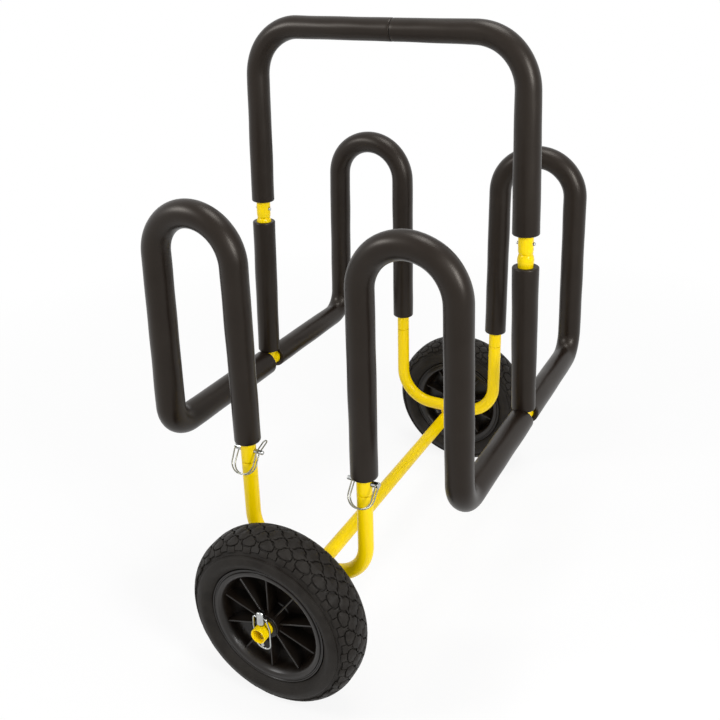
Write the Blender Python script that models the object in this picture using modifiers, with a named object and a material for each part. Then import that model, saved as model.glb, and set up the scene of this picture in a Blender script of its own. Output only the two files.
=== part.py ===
"""Double paddleboard cart: a frame of round steel tube in foam sleeves, on two flat-free wheels.

Metres, +Z up. The origin is on the ground under the middle of the cart. The cart rolls along X and
the boards lie along X, on edge, one each side of the tall middle hoop. The axle runs along Y.
Left is -X, right is +X, near is -Y and far is +Y.
"""

import math

import bmesh
import bpy
from mathutils import Matrix, Quaternion, Vector

# Fits
SEAT_GAP = 0.0003          # between faces that rest on each other
SLIP_CLEARANCE = 0.0002    # radial, one tube slipped inside another
FOAM_CLEARANCE = 0.0001    # radial, foam sleeve over its tube
BEARING_CLEARANCE = 0.0002 # radial, bush on the axle
HOLE_CLEARANCE = 0.0004    # radial, pin or button in its hole
WIRE_CLEARANCE = 0.0003    # radial, wire in the cross hole of a pin

# Tube and foam stock
TUBE_DIAMETER = 0.0222
TUBE_WALL = 0.0015
FOAM_DIAMETER = 0.0365

# Wheels and axle
WHEEL_DIAMETER = 0.264
TYRE_WIDTH = 0.079
TYRE_SHOULDER = 0.034
RIM_FLANGE_DIAMETER = 0.176
RIM_BED_DIAMETER = 0.153
RIM_WIDTH = 0.060
RIM_WALL = 0.004
RIM_LIP = 0.0035
FLANGE_FLARE = 0.002       # how far each flange leans out on its way up from the bed
WEB_THICKNESS = 0.004
RIB_COUNT = 10
RIB_THICKNESS = 0.0024
RIB_RECESS = 0.002         # rib edges behind the rim's outer face
RIB_PHASE = math.radians(18)  # first rib above the way that the cart rolls
HUB_WIDTH = 0.060
HUB_DIAMETER = 0.036
BUSH_WALL = 0.0033
BUSH_LENGTH = 0.018
BUSH_FLANGE = 0.0016
BUSH_FLANGE_DIAMETER = 0.033
WHEEL_TO_BRACKET = 0.0334  # between each tyre and the bracket beside it
WHEEL_PLAY = 0.004         # between each axle pin and the hub's bush
COLLAR_WIDTH = 0.006
COLLAR_DIAMETER = 0.030

# Axle pins, whose rings drop round the axle tube
AXLE_PIN_INSET = 0.010     # pin axis from the axle's end
AXLE_PIN_DIAMETER = 0.005
AXLE_PIN_HEAD_DIAMETER = 0.0096
AXLE_PIN_HEAD_LENGTH = 0.018
AXLE_PIN_BEVEL = 0.0012
AXLE_PIN_TIP = 0.015       # tip below the axle tube
RING_WIRE_DIAMETER = 0.0024
RING_HOLE_HEIGHT = 0.012   # cross hole above the underside of the head
RING_TIP_ROOM = 0.0045     # between the tip and the ring's wire
RING_TOP_BEND_RADIUS = 0.0048

# U brackets on the axle
BRACKET_SPACING = 0.516
LEG_SPACING = 0.189
BRACKET_HEIGHT = 0.1599    # top of the axle tube to the top of the legs
BRACKET_BEND_RADIUS = 0.061
SLEEVE_DEPTH = 0.050       # inner sleeve below the leg's top
SLEEVE_RISE = 0.052        # inner sleeve above it

# Cradle tubes: inner leg, over-arm loop, outer leg, floor bar
CRADLE_RISE = 0.3617       # foot of the inner leg to the loop's centre line
CRADLE_DROP = 0.344        # loop's centre line to the bar's
LOOP_WIDTH = 0.130
OUTER_LEG_LEAN = 0.008     # how far the outer leg runs out on its way down
BAR_BEND_RADIUS = 0.039
LEG_FOAM_START = 0.0287    # bare foot below the inner leg's foam
NEAR_BAR_FOAM_END = 0.0120
FAR_BAR_FOAM_END = 0.0150

# Uprights: stubs on the bars, and the hoop plugged over them in line with them
STUB_HEIGHT = 0.2622       # bar's centre line to the shoulder's top, along the upright
SPIGOT_LENGTH = 0.0565
SHOULDER_SWELL = 0.0009    # how far the shoulder stands out of the tube
SHOULDER_LENGTH = 0.0087
STUB_BARE_TOP = 0.01215    # bare tube from its foam up to the shoulder's top
STUB_FOOT = 0.0037         # above the bar's centre line, before the saddle is cut
HOOP_HEIGHT = 0.565        # bar's centre line to the hoop's top bar
UPRIGHT_LEAN = 0.0175      # how far stub and hoop leg lean in on their way up to it
HOOP_CORNER_RADIUS = 0.076
HOOP_FOAM_START = 0.0285
HOOP_FOAM_SEAM = 0.006

# Spring buttons in the hoop joints
BUTTON_HEIGHT = 0.0155     # above the hoop's lower end, along the upright
BUTTON_DIAMETER = 0.005
BUTTON_REACH = 0.0032      # how far it stands out of the hoop tube
BUTTON_DOME = 0.0015       # height of its round end
BUTTON_FLANGE_DIAMETER = 0.0072
BUTTON_FLANGE = 0.001
CLIP_WIDTH = 0.006
CLIP_THICKNESS = 0.0008
CLIP_RISE = 0.007          # clip ends above the buttons
CLIP_DEPTH = 0.042         # clip's bend below the buttons
CLIP_BEND_WIDTH = 0.004
CLIP_BEND_RADIUS = 0.0018

# Lock pins through the near legs, with their wire bails
LOCK_PIN_HEIGHT = 0.0177   # above the foot of the inner leg
LOCK_PIN_DIAMETER = 0.0062
LOCK_PIN_HEAD_DIAMETER = 0.0084
LOCK_PIN_HEAD_LENGTH = 0.0115
LOCK_PIN_TIP = 0.026       # tip from the leg's axis
BAIL_WIRE_DIAMETER = 0.002
BAIL_PIVOT = 0.0195        # cross hole from the leg's axis
BAIL_LENGTH = 0.040
BAIL_STAND_OFF = 0.0062    # between the hanging wire and the leg, so that it swings past
BAIL_HALF_WIDTH = 0.018
BAIL_BEND_RADIUS = 0.0167
BAIL_HEAD_BEND_RADIUS = 0.0022
BAIL_CATCH = 0.0165        # where the strands cross the pin, from the leg's axis
BAIL_CATCH_DROP = 0.001    # below the pin's axis
BAIL_CATCH_BEND_RADIUS = 0.008
BAIL_TAB_REACH = 0.0245
BAIL_TAB_HEIGHT = 0.018
BAIL_TAB_BEND_RADIUS = 0.004

# Facets
SWEEP_SIDES = 12
WIRE_SIDES = 6
WHEEL_SEGMENTS = 32
BUSH_SEGMENTS = 16
PIN_SEGMENTS = 12
TUBE_ARC_STEP = math.radians(18)
WIRE_ARC_STEP = math.radians(30)
MERGE = 0.00001
SHARP_ANGLE = math.radians(35)

# Finishes: colour, roughness, metallic
YELLOW_POWDER_COAT = ((0.95, 0.66, 0.01), 0.35, 0.0)
BLACK_FOAM = ((0.024, 0.021, 0.019), 0.62, 0.0)
BLACK_RUBBER = ((0.018, 0.018, 0.018), 0.75, 0.0)
BLACK_PLASTIC = ((0.012, 0.012, 0.013), 0.45, 0.0)
BLACK_NYLON = ((0.02, 0.02, 0.02), 0.5, 0.0)
ZINC_STEEL = ((0.62, 0.62, 0.60), 0.28, 1.0)
SPRING_STEEL = ((0.35, 0.35, 0.36), 0.35, 1.0)

# Radii and places that follow from the sizes above
tube_radius = TUBE_DIAMETER / 2
tube_bore = tube_radius - TUBE_WALL
flat_ratio = math.cos(math.pi / SWEEP_SIDES)
slip_radius = tube_bore * flat_ratio - SLIP_CLEARANCE
slip_bore = slip_radius - TUBE_WALL
foam_radius = FOAM_DIAMETER / 2
foam_bore = (tube_radius + FOAM_CLEARANCE) / flat_ratio
bush_bore = (tube_radius + BEARING_CLEARANCE) / math.cos(math.pi / BUSH_SEGMENTS)
bush_radius = bush_bore + BUSH_WALL
hub_bore = (bush_radius + SEAT_GAP) / math.cos(math.pi / WHEEL_SEGMENTS)
axle_height = WHEEL_DIAMETER / 2
bracket_y = BRACKET_SPACING / 2
wheel_y = bracket_y + tube_radius + WHEEL_TO_BRACKET + TYRE_WIDTH / 2
bush_end = wheel_y + HUB_WIDTH / 2 + SEAT_GAP + BUSH_FLANGE
axle_pin_y = bush_end + WHEEL_PLAY + SEAT_GAP + AXLE_PIN_HEAD_DIAMETER / 2
axle_end = axle_pin_y + AXLE_PIN_INSET
inner_x = LEG_SPACING / 2
outer_x = inner_x + LOOP_WIDTH
bar_x = outer_x + OUTER_LEG_LEAN
bracket_floor = axle_height + TUBE_DIAMETER + SEAT_GAP
bracket_top = axle_height + tube_radius + BRACKET_HEIGHT
foot_height = bracket_top + SEAT_GAP
loop_height = foot_height + CRADLE_RISE
bar_height = loop_height - CRADLE_DROP
hoop_top = bar_height + HOOP_HEIGHT
upright_angle = math.atan2(UPRIGHT_LEAN, HOOP_HEIGHT)
upright_length = math.hypot(UPRIGHT_LEAN, HOOP_HEIGHT)
hoop_foot = STUB_HEIGHT + SEAT_GAP
button_rise = hoop_foot + BUTTON_HEIGHT
lock_pin_height = foot_height + LOCK_PIN_HEIGHT
SIDES = {"left": -1, "right": 1}
ENDS = {"near": -1, "far": 1}


def empty_scene():
    """Remove every object, and make one collection for the parts and one for their cutters."""
    for item in list(bpy.data.objects):
        bpy.data.objects.remove(item)
    for name in ("paddleboard_cart", "cutters"):
        bpy.context.scene.collection.children.link(bpy.data.collections.new(name))


def finish_of(name, look):
    """Principled material of a named finish, made the first time it is asked for."""
    found = bpy.data.materials.get(name)
    if found:
        return found
    colour, roughness, metallic = look
    made = bpy.data.materials.new(name)
    made.use_nodes = True
    shader = made.node_tree.nodes["Principled BSDF"]
    shader.inputs["Base Color"].default_value = (*colour, 1)
    shader.inputs["Roughness"].default_value = roughness
    shader.inputs["Metallic"].default_value = metallic
    made.diffuse_color = (*colour, 1)
    return made


def add_part(name, mesh, look):
    """One named sub-part with its own material and smooth round sides."""
    part = bpy.data.objects.new(name, mesh)
    bpy.data.collections["paddleboard_cart"].objects.link(part)
    mesh.materials.append(finish_of(name + "_finish", look))
    mesh.shade_smooth()
    mesh.set_sharp_from_angle(angle=SHARP_ANGLE)
    return part


def add_cutter(name, mesh):
    """A shape that is cut out of a part or joined to one."""
    cutter = bpy.data.objects.new(name, mesh)
    bpy.data.collections["cutters"].objects.link(cutter)
    cutter.hide_render = True
    cutter.display_type = "WIRE"
    return cutter


def add_boolean(part, cutter, operation="DIFFERENCE"):
    modifier = part.modifiers.new(cutter.name, "BOOLEAN")
    modifier.operation = operation
    modifier.object = cutter
    return modifier


def drill(part, name, centre, direction, radius, depth):
    """Round hole through the part, along direction, centred on centre."""
    mesh = bpy.data.meshes.new(name)
    cylinder = bmesh.new()
    bmesh.ops.create_cone(
        cylinder, cap_ends=True, segments=PIN_SEGMENTS, radius1=radius, radius2=radius, depth=depth
    )
    cylinder.to_mesh(mesh)
    cylinder.free()
    cutter = add_cutter(name, mesh)
    cutter.location = centre
    cutter.rotation_mode = "QUATERNION"
    cutter.rotation_quaternion = Vector(direction).to_track_quat("Z", "Y")
    add_boolean(part, cutter)


def arc_at(before, corner, after, radius, step):
    """Points of the fillet of this radius that rounds the corner of a path."""
    into = (corner - before).normalized()
    out = (after - corner).normalized()
    turn = into.angle(out)
    start = corner - into * radius * math.tan(turn / 2)
    centre = corner + (out - into).normalized() * radius / math.cos(turn / 2)
    axis = into.cross(out)
    steps = max(1, math.ceil(turn / step - 0.001))
    return [centre + Quaternion(axis, turn * i / steps) @ (start - centre) for i in range(steps + 1)]


def without_repeats(points):
    """The points, less any that stands on the one before it."""
    kept = [points[0]]
    for point in points[1:]:
        if (point - kept[-1]).length > MERGE:
            kept.append(point)
    return kept


def rounded(corners, radii):
    """An open path from the first corner to the last, the others rounded."""
    corners = [Vector(corner) for corner in corners]
    points = [corners[0]]
    for before, corner, after, radius in zip(corners, corners[1:], corners[2:], radii):
        points += arc_at(before, corner, after, radius, TUBE_ARC_STEP)
    return without_repeats(points + [corners[-1]])


def rounded_loop(corners, radii):
    """A closed path with every corner rounded."""
    corners = [Vector(corner) for corner in corners]
    points = []
    following = corners[1:] + corners[:1]
    preceding = corners[-1:] + corners[:-1]
    for before, corner, after, radius in zip(preceding, corners, following, radii):
        points += arc_at(before, corner, after, radius, WIRE_ARC_STEP)
    return without_repeats(points)


def swept(path, radius, sides, closed=False):
    """Mesh of a round surface carried along a path, open at its ends."""
    curve = bpy.data.curves.new("sweep", "CURVE")
    curve.dimensions = "3D"
    curve.bevel_depth = radius
    curve.bevel_resolution = sides // 2 - 2
    spline = curve.splines.new("POLY")
    spline.points.add(len(path) - 1)
    for point, place in zip(spline.points, path):
        point.co = (*place, 1)
    spline.use_cyclic_u = closed
    guide = bpy.data.objects.new("sweep", curve)
    bpy.context.scene.collection.objects.link(guide)
    evaluated = guide.evaluated_get(bpy.context.evaluated_depsgraph_get())
    mesh = bpy.data.meshes.new_from_object(evaluated)
    bpy.data.objects.remove(guide)
    return mesh


def tube_part(name, path, outer_radius, inner_radius, look):
    """A hollow round tube along a path."""
    part = add_part(name, swept(path, outer_radius, SWEEP_SIDES), look)
    wall = part.modifiers.new("wall", "SOLIDIFY")
    wall.thickness = outer_radius - inner_radius
    wall.offset = -1
    return part


def wire_loop(name, path, diameter, look):
    """A closed ring of round wire."""
    return add_part(name, swept(path, diameter / 2, WIRE_SIDES, closed=True), look)


def profile_mesh(name, profile, closed):
    """Edges of a turned shape's half section, radius along X and height along Z."""
    mesh = bpy.data.meshes.new(name)
    points = [(radius, 0, height) for radius, height in profile]
    edges = [(i, i + 1) for i in range(len(points) - 1)]
    if closed:
        edges.append((len(points) - 1, 0))
    mesh.from_pydata(points, edges, [])
    return mesh


def turn_profile(part, segments):
    """Turn the half section round the object's Z axis."""
    screw = part.modifiers.new("turned", "SCREW")
    screw.steps = segments
    screw.render_steps = segments
    screw.use_merge_vertices = True
    screw.merge_threshold = MERGE
    screw.use_smooth_shade = True


def turned_part(name, profile, segments, look, closed=True):
    """A turned sub-part. A closed half section leaves a bore, an open one starts and ends on the axis."""
    part = add_part(name, profile_mesh(name, profile, closed), look)
    turn_profile(part, segments)
    return part


def place(part, location, local_z=(0, 0, 1), parent=None):
    """Stand the part's own Z axis along local_z, at location."""
    part.location = location
    part.rotation_mode = "QUATERNION"
    part.rotation_quaternion = Vector((0, 0, 1)).rotation_difference(Vector(local_z))
    if parent:
        part.parent = parent


def add_joint_point(name, location):
    """An empty that stands on a joint's axis."""
    point = bpy.data.objects.new(name, None)
    bpy.data.collections["paddleboard_cart"].objects.link(point)
    point.location = location
    return point


def build_axle():
    """Axle tube through both wheels, with a pin hole near each end and a stop collar inside each hub."""
    path = [Vector((0, -axle_end, 0)), Vector((0, axle_end, 0))]
    axle = tube_part("axle_tube", path, tube_radius, tube_bore, YELLOW_POWDER_COAT)
    place(axle, (0, 0, axle_height))
    collar = [
        (COLLAR_DIAMETER / 2, COLLAR_WIDTH / 2),
        (COLLAR_DIAMETER / 2, -COLLAR_WIDTH / 2),
        (bush_bore, -COLLAR_WIDTH / 2),
        (bush_bore, COLLAR_WIDTH / 2),
    ]
    inner_hub_end = wheel_y - HUB_WIDTH / 2 - BUSH_FLANGE - 2 * SEAT_GAP
    for end, sign in ENDS.items():
        hole_radius = AXLE_PIN_DIAMETER / 2 + HOLE_CLEARANCE
        pin_place = (0, sign * axle_pin_y, axle_height)
        drill(axle, f"axle_pin_hole_{end}", pin_place, (0, 0, 1), hole_radius, 2 * TUBE_DIAMETER)
        stop = turned_part(f"axle_stop_collar_{end}", collar, BUSH_SEGMENTS, YELLOW_POWDER_COAT)
        place(stop, (0, sign * (inner_hub_end - COLLAR_WIDTH / 2), axle_height), (0, 1, 0))


def mirrored(profile):
    """The half section's other half, from the middle down."""
    return [(radius, -height) for radius, height in reversed(profile)]


def tyre_profile():
    """Half section of the tyre: round shoulders, and a foot seated between the rim's flanges."""
    crown = WHEEL_DIAMETER / 2 - TYRE_SHOULDER
    flat = TYRE_WIDTH / 2 - TYRE_SHOULDER
    flange = RIM_FLANGE_DIAMETER / 2 + SEAT_GAP
    flange_inside = RIM_WIDTH / 2 - RIM_LIP - SEAT_GAP
    upper = [(flange, flange_inside), (flange, RIM_WIDTH / 2 + SEAT_GAP)]
    for degrees in range(100, -1, -20):
        angle = math.radians(degrees)
        upper.append((crown + TYRE_SHOULDER * math.cos(angle), flat + TYRE_SHOULDER * math.sin(angle)))
    foot = (RIM_BED_DIAMETER / 2 + SEAT_GAP, flange_inside - FLANGE_FLARE)
    return upper + mirrored(upper) + mirrored([foot]) + [foot]


def rim_profile():
    """Half section of the rim: two flanges, barrel, middle web and hub."""
    flange = RIM_FLANGE_DIAMETER / 2
    bed = RIM_BED_DIAMETER / 2
    barrel = bed - RIM_WALL
    face = RIM_WIDTH / 2
    flange_inside = face - RIM_LIP
    outside = [
        (flange, face),
        (flange, flange_inside),
        (bed, flange_inside - FLANGE_FLARE),
    ]
    inside = [
        (hub_bore, HUB_WIDTH / 2),
        (HUB_DIAMETER / 2, HUB_WIDTH / 2),
        (HUB_DIAMETER / 2, WEB_THICKNESS / 2),
        (barrel, WEB_THICKNESS / 2),
        (barrel, flange_inside),
        (flange - RIM_LIP, face),
    ]
    return outside + mirrored(outside) + mirrored(inside) + inside


def rib_mesh(name):
    """Radial ribs that cross the web, from inside the hub's wall to inside the barrel's."""
    start = (hub_bore + HUB_DIAMETER / 2) / 2
    end = (RIM_BED_DIAMETER - RIM_WALL) / 2
    depth = RIM_WIDTH - 2 * RIM_LIP - 2 * RIB_RECESS
    size = Matrix.Diagonal((end - start, RIB_THICKNESS, depth, 1))
    ribs = bmesh.new()
    for i in range(RIB_COUNT):
        turn = Matrix.Rotation(RIB_PHASE + math.tau * i / RIB_COUNT, 4, "Z")
        middle = Matrix.Translation(((start + end) / 2, 0, 0))
        bmesh.ops.create_cube(ribs, size=1, matrix=turn @ middle @ size)
    mesh = bpy.data.meshes.new(name)
    ribs.to_mesh(mesh)
    ribs.free()
    return mesh


def build_wheel(end, sign):
    """Ribbed rim, flat-free tyre and two flanged bushes, turning on the axle."""
    centre = add_joint_point(f"wheel_{end}_centre", (0, sign * wheel_y, axle_height))
    tyre = turned_part(f"tyre_{end}", tyre_profile(), WHEEL_SEGMENTS, BLACK_RUBBER)
    place(tyre, (0, 0, 0), (0, sign, 0), centre)
    rim = turned_part(f"rim_{end}", rim_profile(), WHEEL_SEGMENTS, BLACK_PLASTIC)
    place(rim, (0, 0, 0), (0, sign, 0), centre)
    ribs = add_cutter(f"rim_ribs_{end}", rib_mesh(f"rim_ribs_{end}"))
    place(ribs, (0, 0, 0), (0, sign, 0), centre)
    add_boolean(rim, ribs, "UNION")

    bush = [
        (BUSH_FLANGE_DIAMETER / 2, SEAT_GAP + BUSH_FLANGE),
        (BUSH_FLANGE_DIAMETER / 2, SEAT_GAP),
        (bush_radius, SEAT_GAP),
        (bush_radius, -BUSH_LENGTH),
        (bush_bore, -BUSH_LENGTH),
        (bush_bore, SEAT_GAP + BUSH_FLANGE),
    ]
    for position, facing in (("outer", sign), ("inner", -sign)):
        part = turned_part(f"hub_bush_{end}_{position}", bush, BUSH_SEGMENTS, BLACK_NYLON)
        place(part, (0, facing * HUB_WIDTH / 2, 0), (0, facing, 0), centre)


def build_axle_pin(end, sign):
    """Pin dropped through the axle outside the hub, and the ring that drops round the tube's end."""
    head_foot = axle_height + tube_radius + SEAT_GAP
    radius = AXLE_PIN_DIAMETER / 2
    head = AXLE_PIN_HEAD_DIAMETER / 2
    tip = -(TUBE_DIAMETER + SEAT_GAP + AXLE_PIN_TIP)
    profile = [
        (0, AXLE_PIN_HEAD_LENGTH),
        (head - AXLE_PIN_BEVEL, AXLE_PIN_HEAD_LENGTH),
        (head, AXLE_PIN_HEAD_LENGTH - AXLE_PIN_BEVEL),
        (head, 0),
        (radius, 0),
        (radius, tip + radius),
        (radius / 2, tip),
        (0, tip),
    ]
    pin = turned_part(f"axle_pin_{end}", profile, PIN_SEGMENTS, ZINC_STEEL, closed=False)
    place(pin, (0, sign * axle_pin_y, head_foot))
    pivot = (0, sign * axle_pin_y, head_foot + RING_HOLE_HEIGHT)
    wire = RING_WIRE_DIAMETER / 2
    hole = wire + WIRE_CLEARANCE
    drill(pin, f"axle_ring_hole_{end}", pivot, (1, 0, 0), hole, 2 * AXLE_PIN_HEAD_DIAMETER)

    side = tube_radius + SEAT_GAP + wire
    bottom = tip - RING_HOLE_HEIGHT - RING_TIP_ROOM - wire
    bottom_bend = side - SEAT_GAP
    corners = [(-side, 0, 0), (side, 0, 0), (side, 0, bottom), (-side, 0, bottom)]
    path = rounded_loop(corners, [RING_TOP_BEND_RADIUS] * 2 + [bottom_bend] * 2)
    ring = wire_loop(f"axle_pin_ring_{end}", path, RING_WIRE_DIAMETER, ZINC_STEEL)
    place(ring, pivot)


def build_bracket(end, sign):
    """U bracket standing on the axle, with an inner sleeve fixed in the top of each leg."""
    y = sign * bracket_y
    corners = [
        (-inner_x, y, bracket_top),
        (-inner_x, y, bracket_floor),
        (inner_x, y, bracket_floor),
        (inner_x, y, bracket_top),
    ]
    path = rounded(corners, [BRACKET_BEND_RADIUS] * 2)
    tube_part(f"u_bracket_{end}", path, tube_radius, tube_bore, YELLOW_POWDER_COAT)
    for side, direction in SIDES.items():
        path = [Vector((0, 0, -SLEEVE_DEPTH)), Vector((0, 0, SLEEVE_RISE))]
        name = f"leg_sleeve_{end}_{side}"
        sleeve = tube_part(name, path, slip_radius, slip_bore, YELLOW_POWDER_COAT)
        place(sleeve, (direction * inner_x, y, bracket_top))


def cradle_corners(direction, start, end):
    """Corners from the foot of one inner leg, over the loop and down to the bar, at one end."""
    y = end * bracket_y
    return [
        (direction * inner_x, y, start),
        (direction * inner_x, y, loop_height),
        (direction * outer_x, y, loop_height),
        (direction * bar_x, y, bar_height),
    ]


def loop_radius():
    """Radius of the over-arm loop: both of its bends meet at the middle of its top."""
    lean = math.atan2(OUTER_LEG_LEAN, CRADLE_DROP)
    return LOOP_WIDTH / (1 + math.tan((math.pi / 2 - lean) / 2))


def build_cradle(side, direction):
    """One cradle tube in two foam sleeves, pinned to the near bracket."""
    bends = [loop_radius(), loop_radius(), BAR_BEND_RADIUS]
    near = cradle_corners(direction, foot_height, -1)
    far = cradle_corners(direction, foot_height, 1)
    path = rounded(near + far[::-1], bends + bends[::-1])
    tube = tube_part(f"cradle_tube_{side}", path, tube_radius, tube_bore, YELLOW_POWDER_COAT)

    foam_start = foot_height + LEG_FOAM_START
    bar_ends = {"near": NEAR_BAR_FOAM_END, "far": FAR_BAR_FOAM_END}
    for end, sign in ENDS.items():
        corners = cradle_corners(direction, foam_start, sign)
        corners.append((direction * bar_x, sign * bar_ends[end], bar_height))
        name = f"cradle_foam_{side}_{end}"
        tube_part(name, rounded(corners, bends), foam_radius, foam_bore, BLACK_FOAM)

    pin_place = (direction * inner_x, -bracket_y, lock_pin_height)
    hole = LOCK_PIN_DIAMETER / 2 + HOLE_CLEARANCE
    for part in (tube, bpy.data.objects[f"leg_sleeve_near_{side}"]):
        drill(part, f"{part.name}_pin_hole", pin_place, (1, 0, 0), hole, 2 * TUBE_DIAMETER)


def build_lock_pin(side, direction):
    """Lock pin through a near leg, and the two-strand bail that drops across the tube's front."""
    radius = LOCK_PIN_DIAMETER / 2
    head = LOCK_PIN_HEAD_DIAMETER / 2
    seat = tube_radius + SEAT_GAP
    profile = [
        (0, seat + LOCK_PIN_HEAD_LENGTH),
        (head, seat + LOCK_PIN_HEAD_LENGTH),
        (head, seat),
        (radius, seat),
        (radius, -LOCK_PIN_TIP + radius / 2),
        (radius / 2, -LOCK_PIN_TIP),
        (0, -LOCK_PIN_TIP),
    ]
    pin = turned_part(f"lock_pin_{side}", profile, PIN_SEGMENTS, ZINC_STEEL, closed=False)
    place(pin, (direction * inner_x, -bracket_y, lock_pin_height), (direction, 0, 0))

    wire = BAIL_WIRE_DIAMETER / 2
    head_gap = head + wire + SEAT_GAP + WIRE_CLEARANCE
    catch_gap = radius + wire + HOLE_CLEARANCE
    mid_gap = (head_gap + catch_gap) / 2
    lift = (tube_radius + wire + BAIL_STAND_OFF) / math.hypot(BAIL_LENGTH, mid_gap)
    tilt = math.asin(lift) + math.atan2(mid_gap, BAIL_LENGTH)
    down = Vector((0, -math.sin(tilt), -math.cos(tilt)))
    inward = Vector((-direction, 0, 0))
    across = inward.cross(down)
    pivot = Vector((direction * (inner_x + BAIL_PIVOT), -bracket_y, lock_pin_height))
    hole = wire + WIRE_CLEARANCE
    drill(pin, f"bail_hole_{side}", pivot, across, hole, 3 * LOCK_PIN_HEAD_DIAMETER)

    def strand(gap_at_head, gap, gap_at_catch):
        """Corners of one strand from the head to the tab: inward, down and across."""
        return [
            (0, 0, gap_at_head),
            (BAIL_PIVOT - BAIL_HALF_WIDTH, BAIL_LENGTH, gap),
            (BAIL_PIVOT + BAIL_HALF_WIDTH, BAIL_LENGTH, gap),
            (BAIL_PIVOT + BAIL_CATCH, BAIL_CATCH_DROP, gap_at_catch),
            (BAIL_PIVOT + BAIL_TAB_REACH, -BAIL_TAB_HEIGHT, gap_at_catch),
        ]

    outward = strand(head_gap, mid_gap, catch_gap)
    back = strand(-head_gap, -mid_gap, -catch_gap)[::-1]
    radii = [
        BAIL_HEAD_BEND_RADIUS,
        BAIL_BEND_RADIUS,
        BAIL_BEND_RADIUS,
        BAIL_CATCH_BEND_RADIUS,
        BAIL_TAB_BEND_RADIUS,
    ]
    corners = [inward * u + down * v + across * w for u, v, w in outward + back]
    path = rounded_loop(corners, radii + radii[::-1])
    bail = wire_loop(f"lock_pin_bail_{side}", path, BAIL_WIRE_DIAMETER, ZINC_STEEL)
    place(bail, pivot)


def up_the_upright(direction):
    """The way up a stub and the hoop leg on it, which lean in together."""
    return Vector((-direction * math.sin(upright_angle), 0, math.cos(upright_angle)))


def out_of_upright(direction):
    """The way straight out of the upright's side, away from the cart."""
    return Vector((direction * math.cos(upright_angle), 0, math.sin(upright_angle)))


def on_upright(direction, rise):
    """Point on the upright's axis, this far up it from the bar's centre line."""
    return Vector((direction * bar_x, 0, bar_height)) + rise * up_the_upright(direction)


def build_stub(side, direction):
    """Upright stub standing on the bar, its top swaged to a spigot, in its own foam sleeve."""
    swell = tube_radius + SHOULDER_SWELL
    shoulder_foot = STUB_HEIGHT - SHOULDER_LENGTH
    spigot_top = STUB_HEIGHT + SPIGOT_LENGTH
    profile = [
        (slip_radius, spigot_top),
        (slip_radius, STUB_HEIGHT),
        (swell, shoulder_foot),
        (tube_radius, shoulder_foot - 2 * SHOULDER_SWELL),
        (tube_radius, STUB_FOOT),
        (tube_bore, STUB_FOOT),
        (tube_bore, shoulder_foot - TUBE_WALL),
        (slip_bore, STUB_HEIGHT - TUBE_WALL),
        (slip_bore, spigot_top),
    ]
    stub = turned_part(f"upright_stub_{side}", profile, SWEEP_SIDES, YELLOW_POWDER_COAT)
    bar_place = on_upright(direction, 0)
    place(stub, bar_place, up_the_upright(direction))
    saddle = (tube_radius + SEAT_GAP) / math.cos(math.pi / PIN_SEGMENTS)
    drill(stub, f"bar_saddle_{side}", bar_place, (0, 1, 0), saddle, 2 * FOAM_DIAMETER)

    foam_ends = (foam_radius + SEAT_GAP, STUB_HEIGHT - STUB_BARE_TOP)
    path = [on_upright(direction, rise) for rise in foam_ends]
    tube_part(f"stub_foam_{side}", path, foam_radius, foam_bore, BLACK_FOAM)


def hoop_half(direction, start, end_x):
    """Corners of half the hoop, from this far up the upright to end_x on the top bar."""
    corner = on_upright(direction, upright_length)
    return [on_upright(direction, start), corner, Vector((end_x, 0, hoop_top))]


def build_hoop():
    """Hoop tube plugged over both stubs, in two foam sleeves that butt on the top bar."""
    left = hoop_half(-1, hoop_foot, 0)[:-1]
    right = hoop_half(1, hoop_foot, 0)[:-1]
    path = rounded(left + right[::-1], [HOOP_CORNER_RADIUS] * 2)
    hoop = tube_part("hoop_tube", path, tube_radius, tube_bore, YELLOW_POWDER_COAT)
    for side, direction in SIDES.items():
        seam = HOOP_FOAM_SEAM + direction * SEAT_GAP / 2
        corners = hoop_half(direction, hoop_foot + HOOP_FOAM_START, seam)
        name = f"hoop_foam_{side}"
        tube_part(name, rounded(corners, [HOOP_CORNER_RADIUS]), foam_radius, foam_bore, BLACK_FOAM)
        hole = BUTTON_DIAMETER / 2 + HOLE_CLEARANCE
        centre = on_upright(direction, button_rise)
        way = out_of_upright(direction)
        for part in (hoop, bpy.data.objects[f"upright_stub_{side}"]):
            drill(part, f"{part.name}_button_hole_{side}", centre, way, hole, 2 * TUBE_DIAMETER)


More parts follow.
